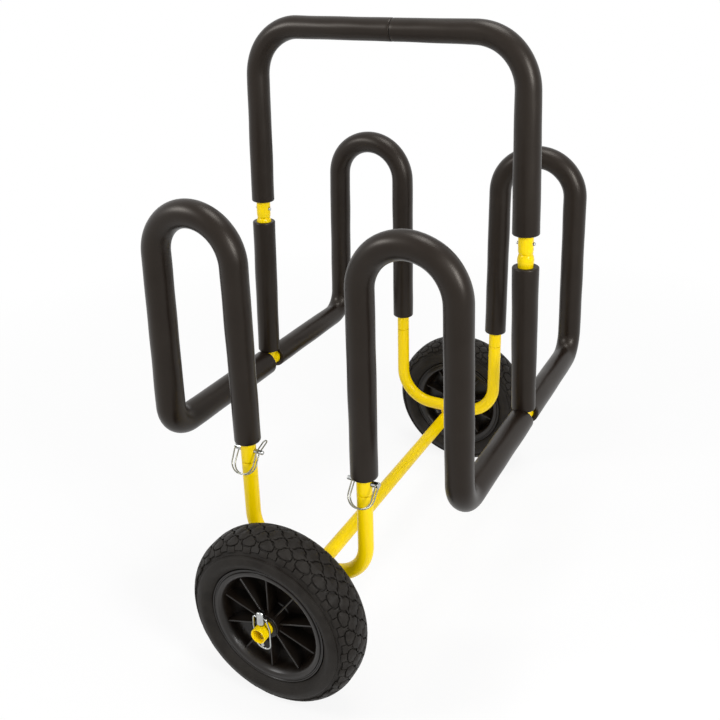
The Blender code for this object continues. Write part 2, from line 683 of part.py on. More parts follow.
def build_spring_buttons(side, direction):
    """Spring clip inside the spigot, pushing two buttons out through the hoop tube."""
    radius = BUTTON_DIAMETER / 2
    reach = tube_radius + BUTTON_REACH
    flange = BUTTON_FLANGE_DIAMETER / 2
    flange_face = math.sqrt((slip_bore * flat_ratio) ** 2 - flange ** 2) - SEAT_GAP
    dome_foot = reach - BUTTON_DOME
    shoulder = math.radians(50)
    profile = [
        (0, reach),
        (radius * math.cos(shoulder), dome_foot + BUTTON_DOME * math.sin(shoulder)),
        (radius, dome_foot),
        (radius, flange_face),
        (flange, flange_face),
        (flange, flange_face - BUTTON_FLANGE),
        (0, flange_face - BUTTON_FLANGE),
    ]
    centre = on_upright(direction, button_rise)
    for position, sign in (("outer", 1), ("inner", -1)):
        name = f"spring_button_{side}_{position}"
        button = turned_part(name, profile, PIN_SEGMENTS, ZINC_STEEL, closed=False)
        place(button, centre, sign * out_of_upright(direction))

    leg = flange_face - BUTTON_FLANGE - SEAT_GAP
    foot = CLIP_BEND_WIDTH / 2
    corners = [
        (-leg, 0, CLIP_RISE),
        (-leg, 0, -CLIP_RISE),
        (-foot, 0, -CLIP_DEPTH),
        (foot, 0, -CLIP_DEPTH),
        (leg, 0, -CLIP_RISE),
        (leg, 0, CLIP_RISE),
    ]
    path = rounded(corners, [CLIP_RISE, CLIP_BEND_RADIUS, CLIP_BEND_RADIUS, CLIP_RISE])
    strip = bmesh.new()
    line = [strip.verts.new(point - Vector((0, CLIP_WIDTH / 2, 0))) for point in path]
    edges = [strip.edges.new(pair) for pair in zip(line, line[1:])]
    grown = bmesh.ops.extrude_edge_only(strip, edges=edges)["geom"]
    moved = [item for item in grown if isinstance(item, bmesh.types.BMVert)]
    bmesh.ops.translate(strip, verts=moved, vec=(0, CLIP_WIDTH, 0))
    mesh = bpy.data.meshes.new(f"button_clip_{side}")
    strip.to_mesh(mesh)
    strip.free()
    clip = add_part(f"button_clip_{side}", mesh, SPRING_STEEL)
    wall = clip.modifiers.new("sheet", "SOLIDIFY")
    wall.thickness = CLIP_THICKNESS
    wall.offset = -1
    place(clip, centre, up_the_upright(direction))


empty_scene()
build_axle()
for end_name, end_sign in ENDS.items():
    build_wheel(end_name, end_sign)
    build_axle_pin(end_name, end_sign)
    build_bracket(end_name, end_sign)
for side_name, side_sign in SIDES.items():
    build_cradle(side_name, side_sign)
    build_lock_pin(side_name, side_sign)
    build_stub(side_name, side_sign)
build_hoop()
for side_name, side_sign in SIDES.items():
    build_spring_buttons(side_name, side_sign)
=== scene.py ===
import bpy
import numpy as np
from mathutils import Matrix, Vector


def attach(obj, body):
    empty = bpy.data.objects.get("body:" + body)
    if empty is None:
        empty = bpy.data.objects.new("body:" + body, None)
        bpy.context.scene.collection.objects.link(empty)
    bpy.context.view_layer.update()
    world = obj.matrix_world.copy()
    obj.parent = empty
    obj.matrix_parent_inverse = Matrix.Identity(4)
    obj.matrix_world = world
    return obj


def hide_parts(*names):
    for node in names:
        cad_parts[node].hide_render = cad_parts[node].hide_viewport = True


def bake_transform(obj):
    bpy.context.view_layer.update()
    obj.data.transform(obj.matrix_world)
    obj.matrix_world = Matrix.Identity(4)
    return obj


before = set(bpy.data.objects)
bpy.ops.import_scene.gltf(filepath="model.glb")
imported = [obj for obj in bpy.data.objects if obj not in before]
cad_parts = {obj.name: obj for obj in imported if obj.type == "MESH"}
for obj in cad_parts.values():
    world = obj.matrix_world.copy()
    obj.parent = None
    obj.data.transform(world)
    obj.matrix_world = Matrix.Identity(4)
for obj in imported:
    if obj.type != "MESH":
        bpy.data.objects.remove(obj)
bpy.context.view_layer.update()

# Axle tube. One straight length of 22 mm steel tube with open ends, powder coated yellow after all
# the welding. It runs through both wheels, and near each end it is drilled upright for a pin.

TUBE_RADIUS = 0.0111
TUBE_BORE = 0.0096
TUBE_SIDES = 40
TUBE_RIM = 0.0006
AXLE_HEIGHT = 0.132
AXLE_END = 0.393
AXLE_PIN_Y = 0.383
AXLE_PIN_HOLE = 0.0029
AXLE_DRILL = 0.05
YELLOW = (0.96, 0.69, 0.0, 1)
YELLOW_THIN = (0.90, 0.60, 0.0, 1)


def bent_line(corners, radii=()):
    """Middle line of a bent tube or wire, as distances, points and ways.

    It is straight between the corners. At an inner corner where it turns by the angle a, with the
    way u before and v after, an arc of radius r touches both straights: it starts r tan(a / 2)
    before the corner, and its points are start + r (u sin t + w (1 - cos t)), t from 0 to a in
    steps of about 2.5 degrees, where w is the way in the bend's plane that is square to u.
    """
    corners = np.array(corners, float)
    ways = np.diff(corners, axis=0)
    ways /= np.linalg.norm(ways, axis=1)[:, None]
    points, heads = [corners[:1]], [ways[:1]]
    for corner, u, v, r in zip(corners[1:-1], ways, ways[1:], radii):
        a = np.arccos(np.clip(u @ v, -1, 1))
        w = (v - u * (u @ v)) / np.sin(a)
        t = np.linspace(0, a, int(np.degrees(a) / 2.5) + 2)[:, None]
        points.append(corner - u * r * np.tan(a / 2) + r * (np.sin(t) * u + (1 - np.cos(t)) * w))
        heads.append(np.cos(t) * u + np.sin(t) * w)
    points = np.concatenate([*points, corners[-1:]])
    heads = np.concatenate([*heads, ways[-1:]])
    steps = np.linalg.norm(np.diff(points, axis=0), axis=1)
    return np.concatenate([[0], np.cumsum(steps)]), points, heads


def wall_rings(length, outer, bore, rim, spacing=0.006):
    """Rings of a hollow tube, as distances and radii: along the wall and back along the bore.

    Each end is rounded by quarter circles of radius rim: distance rim (1 - sin t), radius
    outer - rim (1 - cos t) on the wall and bore + rim (1 - cos t) in the bore, t from 0 to 90
    degrees. The last ring joins the first across the end's flat.
    """
    t = np.linspace(0, np.pi / 2, 5)
    count = max(2, int((length - 2 * rim) / spacing) + 1)
    middle = np.linspace(rim, length - rim, count)[1:-1]
    lead, drop = rim * (1 - np.sin(t)), rim * (1 - np.cos(t))
    s = np.concatenate([lead[::-1], middle, length - lead])
    r = np.concatenate([outer - drop[::-1], np.full(len(middle), outer), outer - drop])
    back = np.concatenate([bore + drop[::-1], np.full(len(middle), bore), bore + drop])
    return np.concatenate([s, s[::-1]]), np.concatenate([r, back])


def carried(line, s, r, across, sides, slide=0.0):
    """Grid of points of a round section carried along a line.

    At distance s and angle a the point is p(s) + r (n cos a + b sin a), where p is the line, n its
    way times the across vector and b its way times n. r and slide may change from ring to ring
    and round each ring; slide moves a point along the way. sides is the number of even angles, or
    the angles themselves.
    """
    distance, points, heads = line
    p = np.stack([np.interp(s, distance, points[:, k]) for k in range(3)], -1)
    way = np.stack([np.interp(s, distance, heads[:, k]) for k in range(3)], -1)
    way /= np.linalg.norm(way, axis=1)[:, None]
    n = np.cross(way, across)
    n /= np.linalg.norm(n, axis=1)[:, None]
    b = np.cross(way, n)
    a = np.arange(sides) * 2 * np.pi / sides if np.ndim(sides) == 0 else sides
    out = n[:, None] * np.cos(a)[:, None] + b[:, None] * np.sin(a)[:, None]
    r = np.broadcast_to(np.reshape(r, (-1, 1)) if np.ndim(r) == 1 else r, (len(s), len(a)))
    slide = np.broadcast_to(slide, (len(s), len(a)))
    return p[:, None] + r[..., None] * out + slide[..., None] * way[:, None]


def outward(points, faces):
    """The same skin with its faces pointing outwards.

    Then its signed volume, the sum of p1 . (p2 x p3) / 6 over its triangles, is positive; a skin
    with a negative one is turned.
    """
    halves = [face[:3] for face in faces]
    halves += [(face[0], face[2], face[3]) for face in faces if len(face) == 4]
    p1, p2, p3 = points[np.array(halves)].transpose(1, 0, 2)
    turned = (p1 * np.cross(p2, p3)).sum() < 0
    return points, [face[::-1] for face in faces] if turned else faces


def skinned(grid, loop=True):
    """Points and faces over a grid whose columns run round it: four neighbours make a face.

    With loop its last row joins its first. Without, a fan to the middle of the first row and one to
    the middle of the last close it.
    """
    rows, columns = grid.shape[:2]
    index = np.arange(rows * columns).reshape(rows, columns)
    beside = np.roll(index, -1, 1)
    above, over = np.roll(index, -1, 0), np.roll(beside, -1, 0)
    quads = np.stack([index, beside, over, above], -1)[: rows if loop else rows - 1]
    points, faces = grid.reshape(-1, 3), quads.reshape(-1, 4).tolist()
    if not loop:
        points = np.concatenate([points, grid[:1].mean(1), grid[-1:].mean(1)])
        first, last = np.full(columns, len(points) - 2), np.full(columns, len(points) - 1)
        faces += np.stack([first, beside[0], index[0]], -1).tolist()
        faces += np.stack([last, index[-1], beside[-1]], -1).tolist()
    return outward(points, faces)


def joined(*skins):
    """Several points and faces as one: each one's faces count on from the points before them."""
    starts = np.cumsum([0] + [len(points) for points, faces in skins])
    counted = [
        [i + start for i in face] for (points, faces), start in zip(skins, starts) for face in faces
    ]
    return np.concatenate([points for points, faces in skins]), counted


def placed(name, data):
    """An object in the scene that holds the given mesh, lamp or camera."""
    thing = bpy.data.objects.new(name, data)
    bpy.context.scene.collection.objects.link(thing)
    return thing


def made(name, skin, finish, sharp=40):
    """A mesh object of the given points and faces, smooth except at edges above sharp degrees."""
    points, faces = skin
    mesh = bpy.data.meshes.new(name)
    mesh.from_pydata(points.tolist(), [], faces)
    mesh.materials.append(finish)
    mesh.shade_smooth()
    mesh.set_sharp_from_angle(angle=np.radians(sharp))
    return placed(name, mesh)


def drilled(skin, centre, way, radius, length, sides=24):
    """The skin with a round hole through it, centred on centre and running along way."""
    centre, way = np.array(centre), np.array(way, float)
    line = bent_line([centre - way * length / 2, centre + way * length / 2])
    across = (0, 1, 0) if abs(way[1]) < 0.5 else (1, 0, 0)
    grid = carried(line, np.array([0, length]), radius, across, sides)
    blank, drill = made("blank", skin, None), made("drill", skinned(grid, loop=False), None)
    blank.modifiers.new("hole", "BOOLEAN").object = drill
    graph = bpy.context.evaluated_depsgraph_get()
    done = bpy.data.meshes.new_from_object(blank.evaluated_get(graph))
    points = np.empty(3 * len(done.vertices))
    done.vertices.foreach_get("co", points)
    faces = [list(face.vertices) for face in done.polygons]
    for piece in (blank, drill):
        bpy.data.objects.remove(piece)
    return points.reshape(-1, 3), faces


def dressed(node, skin, finish, body, sharp=40):
    """The visible piece that stands for a node, with the body that carries it."""
    piece = made(f"{node}_dressed", skin, finish, sharp)
    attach(piece, body)
    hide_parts(node)
    return piece


def put(tree, kind, inputs=(), **settings):
    """Adds a node to a tree. An input is a number, a colour or another node's output."""
    node = tree.nodes.new(kind)
    for key, value in settings.items():
        setattr(node, key, value)
    for key, value in dict(inputs).items():
        if isinstance(value, bpy.types.NodeSocket):
            tree.links.new(value, node.inputs[key])
        else:
            node.inputs[key].default_value = value
    return node


def group_with(name, inputs, outputs, colours=()):
    """An empty shader group with the named inputs and outputs: numbers, apart from the colours."""
    tree = bpy.data.node_groups.new(name, "ShaderNodeTree")
    for end, keys in (("INPUT", inputs), ("OUTPUT", outputs)):
        for key in keys:
            kind = "NodeSocketColor" if key in colours else "NodeSocketFloat"
            tree.interface.new_socket(key, in_out=end, socket_type=kind)
    return tree, put(tree, "NodeGroupInput").outputs, put(tree, "NodeGroupOutput").inputs


# Grain: two sizes of noise over the object, one for the height of a bump.
GRAIN, given, gives = group_with("surface grain", ["Fine", "Coarse", "Coarse Share"], ["Height"])
place = put(GRAIN, "ShaderNodeTexCoord").outputs["Object"]
fine = put(GRAIN, "ShaderNodeTexNoise", {"Vector": place, "Scale": given["Fine"], "Detail": 2.0})
coarse = put(
    GRAIN, "ShaderNodeTexNoise", {"Vector": place, "Scale": given["Coarse"], "Detail": 3.0}
)
both = put(
    GRAIN, "ShaderNodeMix",
    {"Factor": given["Coarse Share"], "A": fine.outputs[0], "B": coarse.outputs[0]},
)
GRAIN.links.new(both.outputs[0], gives["Height"])

# Drift: the colour and the gloss of a finish change a little from place to place.
DRIFT, given, gives = group_with(
    "finish drift", ["Colour", "Other", "Amount", "Scale", "Roughness", "Spread"],
    ["Mixed", "Gloss"], colours=["Colour", "Other", "Mixed"],
)
place = put(DRIFT, "ShaderNodeTexCoord").outputs["Object"]
cloud = put(DRIFT, "ShaderNodeTexNoise", {"Vector": place, "Scale": given["Scale"], "Detail": 5.0})
mask = put(
    DRIFT, "ShaderNodeMapRange",
    {"Value": cloud.outputs[0], "From Min": 0.35, "From Max": 0.7, "To Max": given["Amount"]},
)
# Inputs 6 and 7 and output 2 of a mix node are its colours
tint = put(
    DRIFT, "ShaderNodeMix", {0: mask.outputs[0], 6: given["Colour"], 7: given["Other"]},
    data_type="RGBA",
)
gloss_terms = {0: given["Roughness"], 1: given["Spread"]}
low = put(DRIFT, "ShaderNodeMath", gloss_terms, operation="SUBTRACT")
high = put(DRIFT, "ShaderNodeMath", gloss_terms, operation="ADD")
gloss = put(
    DRIFT, "ShaderNodeMapRange",
    {"Value": cloud.outputs[0], "From Min": 0.3, "From Max": 0.7,
     "To Min": low.outputs[0], "To Max": high.outputs[0]},
)
DRIFT.links.new(tint.outputs[2], gives["Mixed"])
DRIFT.links.new(gloss.outputs[0], gives["Gloss"])


def finish_with(name, depth, bump_size, **values):
    """A material with colour and gloss from the drift group and a bump from the grain group.

    depth is the height of the bump in metres and bump_size how strongly it tilts the surface. Each
    of the values goes to the input of its name, on a group if one has it and else on the shader.
    """
    material = bpy.data.materials.new(name)
    material.use_nodes = True
    tree = material.node_tree
    shader = tree.nodes["Principled BSDF"]
    colours = put(tree, "ShaderNodeGroup", node_tree=DRIFT)
    grains = put(tree, "ShaderNodeGroup", node_tree=GRAIN)
    for key, value in values.items():
        key = key.replace("_", " ")
        node = next(node for node in (colours, grains, shader) if key in node.inputs)
        node.inputs[key].default_value = value
    bump = put(
        tree, "ShaderNodeBump",
        {"Height": grains.outputs[0], "Distance": depth, "Strength": bump_size},
    )
    tree.links.new(colours.outputs["Mixed"], shader.inputs["Base Color"])
    tree.links.new(colours.outputs["Gloss"], shader.inputs["Roughness"])
    tree.links.new(bump.outputs[0], shader.inputs["Normal"])
    return material


powder_coat = finish_with(
    "yellow powder coat", depth=0.00006, bump_size=0.3,
    Colour=YELLOW, Other=YELLOW_THIN, Amount=0.3, Scale=16, Roughness=0.22, Spread=0.04,
    Fine=650, Coarse=190, Coarse_Share=0.6, Specular_IOR_Level=0.2,
)

axle_line = bent_line([(0, -AXLE_END, AXLE_HEIGHT), (0, AXLE_END, AXLE_HEIGHT)])
s, r = wall_rings(2 * AXLE_END, TUBE_RADIUS, TUBE_BORE, TUBE_RIM, spacing=0.02)
tube = skinned(carried(axle_line, s, r, (0, 0, 1), TUBE_SIDES))
for end in (-1, 1):
    place = (0, end * AXLE_PIN_Y, AXLE_HEIGHT)
    tube = drilled(tube, place, (0, 0, 1), AXLE_PIN_HOLE, AXLE_DRILL)
dressed("axle_tube", tube, powder_coat, "frame")

# Stop collars. A short steel ring on the axle inside each wheel, held by a thin bead of weld, so
# that the wheel can't slide in towards the bracket. Coated with the frame.

COLLAR_Y = 0.3068
COLLAR_HALF = 0.003
COLLAR_RADIUS = 0.015
COLLAR_BORE = 0.0115
COLLAR_EDGE = 0.0007
COLLAR_SIDES = 48
BEAD_RADIUS = 0.0016
BEAD_RIPPLE = 0.12
BEAD_PITCH = 0.0022
BEAD_STEP = 0.0006
ENDS = (("near", -1), ("far", 1))


def bead(line, radius, across, sides=10):
    """A closed bead of weld, whose radius swells by the ripple once in each pitch.

    It is radius (1 + ripple cos(2 pi n s / L)) at distance s of the length L, where n is the whole
    number nearest to L / pitch.
    """
    length = line[0][-1]
    s = np.linspace(0, length, int(length / BEAD_STEP), endpoint=False)
    swells = np.round(length / BEAD_PITCH)
    r = radius * (1 + BEAD_RIPPLE * np.cos(2 * np.pi * swells * s / length))
    return skinned(carried(line, s, r, across, sides))


def closed_line(points):
    """Distances, points and ways of a smooth closed line that is given by many points."""
    points = np.concatenate([points, points[:1]])
    steps = np.diff(points, axis=0)
    lengths = np.linalg.norm(steps, axis=1)
    heads = np.concatenate([steps, steps[:1]])
    heads = heads + np.roll(heads, 1, 0)
    heads[0] = heads[-1] = steps[0] + steps[-1]
    return np.concatenate([[0], np.cumsum(lengths)]), points, heads


turn = np.linspace(0, 2 * np.pi, 120, endpoint=False)
for end, side in ENDS:
    middle = side * COLLAR_Y
    line = bent_line([(0, middle + way * COLLAR_HALF, AXLE_HEIGHT) for way in (-1, 1)])
    s, r = wall_rings(2 * COLLAR_HALF, COLLAR_RADIUS, COLLAR_BORE, COLLAR_EDGE, spacing=0.003)
    ring = skinned(carried(line, s, r, (0, 0, 1), COLLAR_SIDES))
    inside = middle - side * COLLAR_HALF
    loop = np.stack([TUBE_RADIUS * np.cos(turn), 0 * turn + inside, TUBE_RADIUS * np.sin(turn)], -1)
    weld = bead(closed_line(loop + (0, 0, AXLE_HEIGHT)), BEAD_RADIUS, (0, 1, 0))
    dressed(f"axle_stop_collar_{end}", joined(ring, weld), powder_coat, "frame")

# U brackets. Each is one length of the same tube bent twice, standing on the axle and welded to it
# where the two cross. The legs carry the cradles, and round plug welds hold a sleeve in each leg.

BRACKET_Y = 0.258
INNER_X = 0.0945
BRACKET_FLOOR = 0.1545
BRACKET_TOP = 0.3028
BRACKET_BEND = 0.061
CROSS_BEAD = 0.0085
CROSS_BEAD_RADIUS = 0.0025
PLUG_HEIGHT = 0.281
PLUG_RADIUS = 0.0036
PLUG_RISE = 0.0009
PLUG_ROOT = 0.0012
PLUG_EDGE = 0.0010
PLUG_SIDES = 20
LATHE_REACH = 0.2


def lathe(base, way, outline, across, sides, loop=True):
    """A turned shape about the line through base along way.

    The outline holds rows of a radius from that line and an offset along it.
    """
    radii, offsets = np.array(outline).T
    way = np.array(way, float)
    line = bent_line([base - LATHE_REACH * way, base + LATHE_REACH * way])
    return skinned(carried(line, offsets + LATHE_REACH, radii, across, sides), loop)


def plug_weld(centre, way):
    """A low round dome on a tube, rooted in it.

    At distance q from its middle it stands rise (1 - (q / radius)^2) over its edge.
    """
    q = np.linspace(PLUG_RADIUS, 0.15 * PLUG_RADIUS, 6)
    rise = PLUG_EDGE + PLUG_RISE * (1 - (q / PLUG_RADIUS) ** 2)
    outline = np.stack([np.append(PLUG_RADIUS, q), np.append(0, rise)], -1)
    outline[:, 1] += TUBE_RADIUS - PLUG_ROOT
    return lathe(centre, way, outline, (0, 1, 0), PLUG_SIDES, loop=False)


for end, side in ENDS:
    y = side * BRACKET_Y
    line = bent_line(
        [(-INNER_X, y, BRACKET_TOP), (-INNER_X, y, BRACKET_FLOOR), (INNER_X, y, BRACKET_FLOOR),
         (INNER_X, y, BRACKET_TOP)],
        [BRACKET_BEND] * 2,
    )
    s, r = wall_rings(line[0][-1], TUBE_RADIUS, TUBE_BORE, TUBE_RIM)
    tube = skinned(carried(line, s, r, (0, 1, 0), TUBE_SIDES))
    x, v = CROSS_BEAD * np.cos(turn), CROSS_BEAD * np.sin(turn)
    on_axle = AXLE_HEIGHT + np.sqrt(TUBE_RADIUS**2 - x**2)
    under_bracket = BRACKET_FLOOR - np.sqrt(TUBE_RADIUS**2 - v**2)
    loop = closed_line(np.stack([x, y + v, (on_axle + under_bracket) / 2], -1))
    weld = bead(loop, CROSS_BEAD_RADIUS, (0, 0, 1), 12)
    plugs = [
        plug_weld(np.array([leg * INNER_X, y, PLUG_HEIGHT]), (way, 0, 0))
        for leg in (-1, 1) for way in (-1, 1)
    ]
    dressed(f"u_bracket_{end}", joined(tube, weld, *plugs), powder_coat, "frame")
    for leg in ("left", "right"):
        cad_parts[f"leg_sleeve_{end}_{leg}"].data.materials[0] = powder_coat

# Cradle tubes. Each side has one tube: up from the bracket's near leg, over the arm loop, down and
# along the floor bar, and up and over again at the far end. Its feet slip over the leg sleeves.

FOOT = 0.3036
LOOP_HEIGHT = 0.665
BAR_HEIGHT = 0.321
OUTER_X = 0.2245
BAR_X = 0.2325
LOOP_BEND = 0.065755
BAR_BEND = 0.039
LOCK_PIN_HEIGHT = 0.321
LOCK_PIN_HOLE = 0.0035
LOCK_DRILL = 0.04
HANDS = (("left", -1), ("right", 1))


def cradle_corners(way, y, foot):
    """Corners from a foot over the loop and down to the bar, at one end."""
    return [
        (way * INNER_X, y, foot), (way * INNER_X, y, LOOP_HEIGHT),
        (way * OUTER_X, y, LOOP_HEIGHT), (way * BAR_X, y, BAR_HEIGHT),
    ]


bends = [LOOP_BEND, LOOP_BEND, BAR_BEND]
for name, way in HANDS:
    near, far = cradle_corners(way, -BRACKET_Y, FOOT), cradle_corners(way, BRACKET_Y, FOOT)
    line = bent_line(near + far[::-1], bends + bends[::-1])
    s, r = wall_rings(line[0][-1], TUBE_RADIUS, TUBE_BORE, TUBE_RIM)
    tube = skinned(carried(line, s, r, (way, 1, 0), TUBE_SIDES))
    place = (way * INNER_X, -BRACKET_Y, LOCK_PIN_HEIGHT)
    tube = drilled(tube, place, (1, 0, 0), LOCK_PIN_HOLE, LOCK_DRILL)
    dressed(f"cradle_tube_{name}", tube, powder_coat, "frame")

# Foam sleeves on the cradles. Closed-cell rubber foam tube, pushed on with air and a little glue.
# It takes the tube's bends without a seam, and its cut ends are slightly rounded. Pushing it on
# has left it a little thicker in some places than in others.

FOAM_RADIUS = 0.01825
FOAM_BORE = 0.0115
FOAM_SIDES = 40
FOAM_END = 0.0022
FOAM_SPACING = 0.004
FOAM_WAVE = 0.0001
FOAM_WAVE_DROP = 0.0006
SKEW_LENGTH = 0.02
LEG_FOAM_SWELL = 1.04
BAR_FOAM_SWELL = {"left near": 1.20, "right near": 1.04, "left far": 1.04, "right far": 1.04}
LEG_FOAM_FOOT = {"left near": 0.3362, "right near": 0.3302, "left far": 0.3320, "right far": 0.3320}
NEAR_BAR_END = -0.012
FAR_BAR_END = 0.015
NEAR_BAR_SKEW = {"left": 0.003, "right": 0.010}
FOAM_BLACK = (0.0062, 0.0030, 0.0013, 1)
FOAM_GREY = (0.0110, 0.0074, 0.0050, 1)
FOAM_SHEEN = (1.0, 0.93, 0.85, 1)

foam = finish_with(
    "black foam sleeve", depth=0.00012, bump_size=0.25,
    Colour=FOAM_BLACK, Other=FOAM_GREY, Amount=0.6, Scale=22, Roughness=0.35, Spread=0.03,
    Fine=1500, Coarse=120, Coarse_Share=0.45, Specular_IOR_Level=0.3, Specular_Tint=FOAM_SHEEN,
)


def foam_sleeve(node, line, across, start=0.0, skew=0.0, swell=(1.0, 1.0)):
    """The foam tube of a node along a line, padded round it.

    Its outside waves by a fraction of a millimetre, as foam does: radius + wave (sin 61 t +
    sin (37 t + 2 a) + cos (83 t - 3 a)), where t is the distance from start and a the angle. The
    rounding of its ends waves only where it has dropped by less than the wave's drop. Its radius
    eases from swell[0] times its own at the start to swell[1] times at the end, by the share
    3 q^2 - 2 q^3 at the share q of its length. Where its end is cut askew, its underside runs on
    by up to skew over the last piece.
    """
    length = line[0][-1]
    s, r = wall_rings(length, FOAM_RADIUS, FOAM_BORE, FOAM_END, FOAM_SPACING)
    a = np.arange(FOAM_SIDES) * 2 * np.pi / FOAM_SIDES
    t = s[:, None] + start
    wave = FOAM_WAVE * (np.sin(61 * t) + np.sin(37 * t + 2 * a) + np.cos(83 * t - 3 * a))
    outside = (r > FOAM_RADIUS - FOAM_WAVE_DROP)[:, None]
    q = np.clip(s / length, 0, 1)
    wall = FOAM_RADIUS * (swell[0] + (swell[1] - swell[0]) * q**2 * (3 - 2 * q)) - FOAM_BORE
    r = FOAM_BORE + (r - FOAM_BORE) * wall / (FOAM_RADIUS - FOAM_BORE)
    grid = carried(line, s, r[:, None] + wave * outside, across, FOAM_SIDES)
    ramp = np.clip((s - length) / SKEW_LENGTH + 1, 0, 1)[:, None]
    below = (grid[..., 2].max(1, keepdims=True) - grid[..., 2]) / (2 * FOAM_RADIUS)
    grid += (skew * ramp * below)[..., None] * line[2][-1]
    dressed(node, skinned(grid), foam, "frame")


for name, way in HANDS:
    for end, side, bar_end in (("near", -1, NEAR_BAR_END), ("far", 1, FAR_BAR_END)):
        corners = cradle_corners(way, side * BRACKET_Y, LEG_FOAM_FOOT[f"{name} {end}"])
        line = bent_line([*corners, (way * BAR_X, bar_end, BAR_HEIGHT)], bends)
        skew = NEAR_BAR_SKEW[name] if end == "near" else 0.0
        swell = (LEG_FOAM_SWELL, BAR_FOAM_SWELL[f"{name} {end}"])
        foam_sleeve(f"cradle_foam_{name}_{end}", line, (way, 1, 0), way + side, skew, swell)

# Upright stubs. A piece of tube coped over the middle of each floor bar and welded all round. Its
# top is swollen into a shoulder, and above that it is drawn down to a spigot for the hoop.

UPRIGHT_RISE = 0.565
UPRIGHT_LEAN = 0.0175
SHOULDER_RADIUS = 0.0122
SPIGOT_RADIUS = 0.0091
SPIGOT_BORE = 0.0076
SPIGOT_HOLE = 0.0027
BUTTON_RISE = 0.2780
BUTTON_DRILL = 0.04
COPE_GAP = 0.0002
STUB_BEAD_RADIUS = 0.0018
STUB_BEAD_OUT = 0.0003
STUB_BEAD_SAG = 0.002

lean = np.arctan2(UPRIGHT_LEAN, UPRIGHT_RISE)


def up_the_upright(way):
    """The way up a stub and the hoop's leg on it, which lean in together by the same angle."""
    return np.array([-way * np.sin(lean), 0, np.cos(lean)])


def out_of_upright(way):
    """The way straight out of an upright's side, away from the cart."""
    return np.array([way * np.cos(lean), 0, np.sin(lean)])


def on_upright(way, rise):
    """A point on an upright's middle line, this far up it from the bar's middle line."""
    return np.array([way * BAR_X, 0, BAR_HEIGHT]) + rise * up_the_upright(way)


# Rises and radii, up the wall over the shoulder and the spigot and back down the bore
profile = np.array([
    (0.0, TUBE_RADIUS), (0.2340, TUBE_RADIUS), (0.2420, TUBE_RADIUS), (0.2450, 0.01128),
    (0.2475, 0.01162), (0.2500, 0.01200), (0.2525, SHOULDER_RADIUS), (0.2550, 0.01208),
    (0.2575, 0.01170), (0.2595, 0.01115), (0.2611, 0.01050), (0.2622, 0.00980),
    (0.2622, SPIGOT_RADIUS + 0.0004), (0.2628, SPIGOT_RADIUS), (0.3175, SPIGOT_RADIUS),
    (0.3187, SPIGOT_RADIUS - 0.0004), (0.3187, SPIGOT_BORE + 0.0003), (0.3180, SPIGOT_BORE),
    (0.2600, SPIGOT_BORE), (0.2520, TUBE_BORE), (0.0, TUBE_BORE),
])
for name, way in HANDS:
    x = way * BAR_X
    line = bent_line([on_upright(way, 0), on_upright(way, UPRIGHT_RISE)])
    cope = np.zeros((len(profile), TUBE_SIDES))
    grid = carried(line, profile[:, 0], profile[:, 1], (0, 1, 0), TUBE_SIDES)
    for row in (0, -1):
        bar_top = np.sqrt(np.clip(TUBE_RADIUS**2 - (grid[row, :, 0] - x) ** 2, 0, None))
        cope[row] = bar_top + COPE_GAP
    tube = skinned(carried(line, profile[:, 0], profile[:, 1], (0, 1, 0), TUBE_SIDES, cope))
    place = on_upright(way, BUTTON_RISE)
    tube = drilled(tube, place, out_of_upright(way), SPIGOT_HOLE, BUTTON_DRILL)
    along, beside = (TUBE_RADIUS + STUB_BEAD_OUT) * np.array([np.cos(turn), np.sin(turn)])
    rise = np.sqrt(np.clip(TUBE_RADIUS**2 - along**2, 0, None) + STUB_BEAD_SAG**2)
    loop = closed_line(np.stack([x + along, beside, BAR_HEIGHT + rise], -1))
    weld = bead(loop, STUB_BEAD_RADIUS, (0, 0, 1))
    dressed(f"upright_stub_{name}", joined(tube, weld), powder_coat, "frame")

# Foam sleeves on the stubs. One straight length each, in the same foam as the cradles'. The left
# one was pushed up on to the shoulder, and the right one stops below it and is thicker at its top.

STUB_FOAM_ENDS = {"left": (0.0212, 0.2562), "right": (0.0152, 0.2434)}
STUB_FOAM_SWELL = {"left": (1.0, 1.0), "right": (1.0, 1.07)}

for name, way in HANDS:
    line = bent_line([on_upright(way, rise) for rise in STUB_FOAM_ENDS[name]])
    foam_sleeve(f"stub_foam_{name}", line, (0, 1, 0), 3 * way, swell=STUB_FOAM_SWELL[name])

# Hoop tube. One tube in a wide arch, plugged over both spigots, its legs in line with the stubs.
# Its lower ends are drawn in to a smooth lip, and each is drilled through for the buttons.

HOOP_FROM = 0.2625
HOOP_CORNER = 0.076
HOOP_SPACING = 0.004
HOOP_LIP = 0.0028
HOOP_LIP_DRAW = 0.0011
BUTTON_HOLE = 0.0029

upright = np.hypot(UPRIGHT_RISE, UPRIGHT_LEAN)
line = bent_line(
    [on_upright(-1, HOOP_FROM), on_upright(-1, upright),
     on_upright(1, upright), on_upright(1, HOOP_FROM)],
    [HOOP_CORNER] * 2,
)
length = line[0][-1]
s, r = wall_rings(length, TUBE_RADIUS, TUBE_BORE, TUBE_RIM, HOOP_SPACING)
lip = np.clip(1 - np.minimum(s, length - s) / HOOP_LIP, 0, 1)
r = r - np.where(r > (TUBE_RADIUS + TUBE_BORE) / 2, HOOP_LIP_DRAW * lip**2, 0)
tube = skinned(carried(line, s, r, (0, 1, 0), TUBE_SIDES))
for way in (-1, 1):
    place = on_upright(way, BUTTON_RISE)
    tube = drilled(tube, place, out_of_upright(way), BUTTON_HOLE, BUTTON_DRILL)
dressed("hoop_tube", tube, powder_coat, "frame")

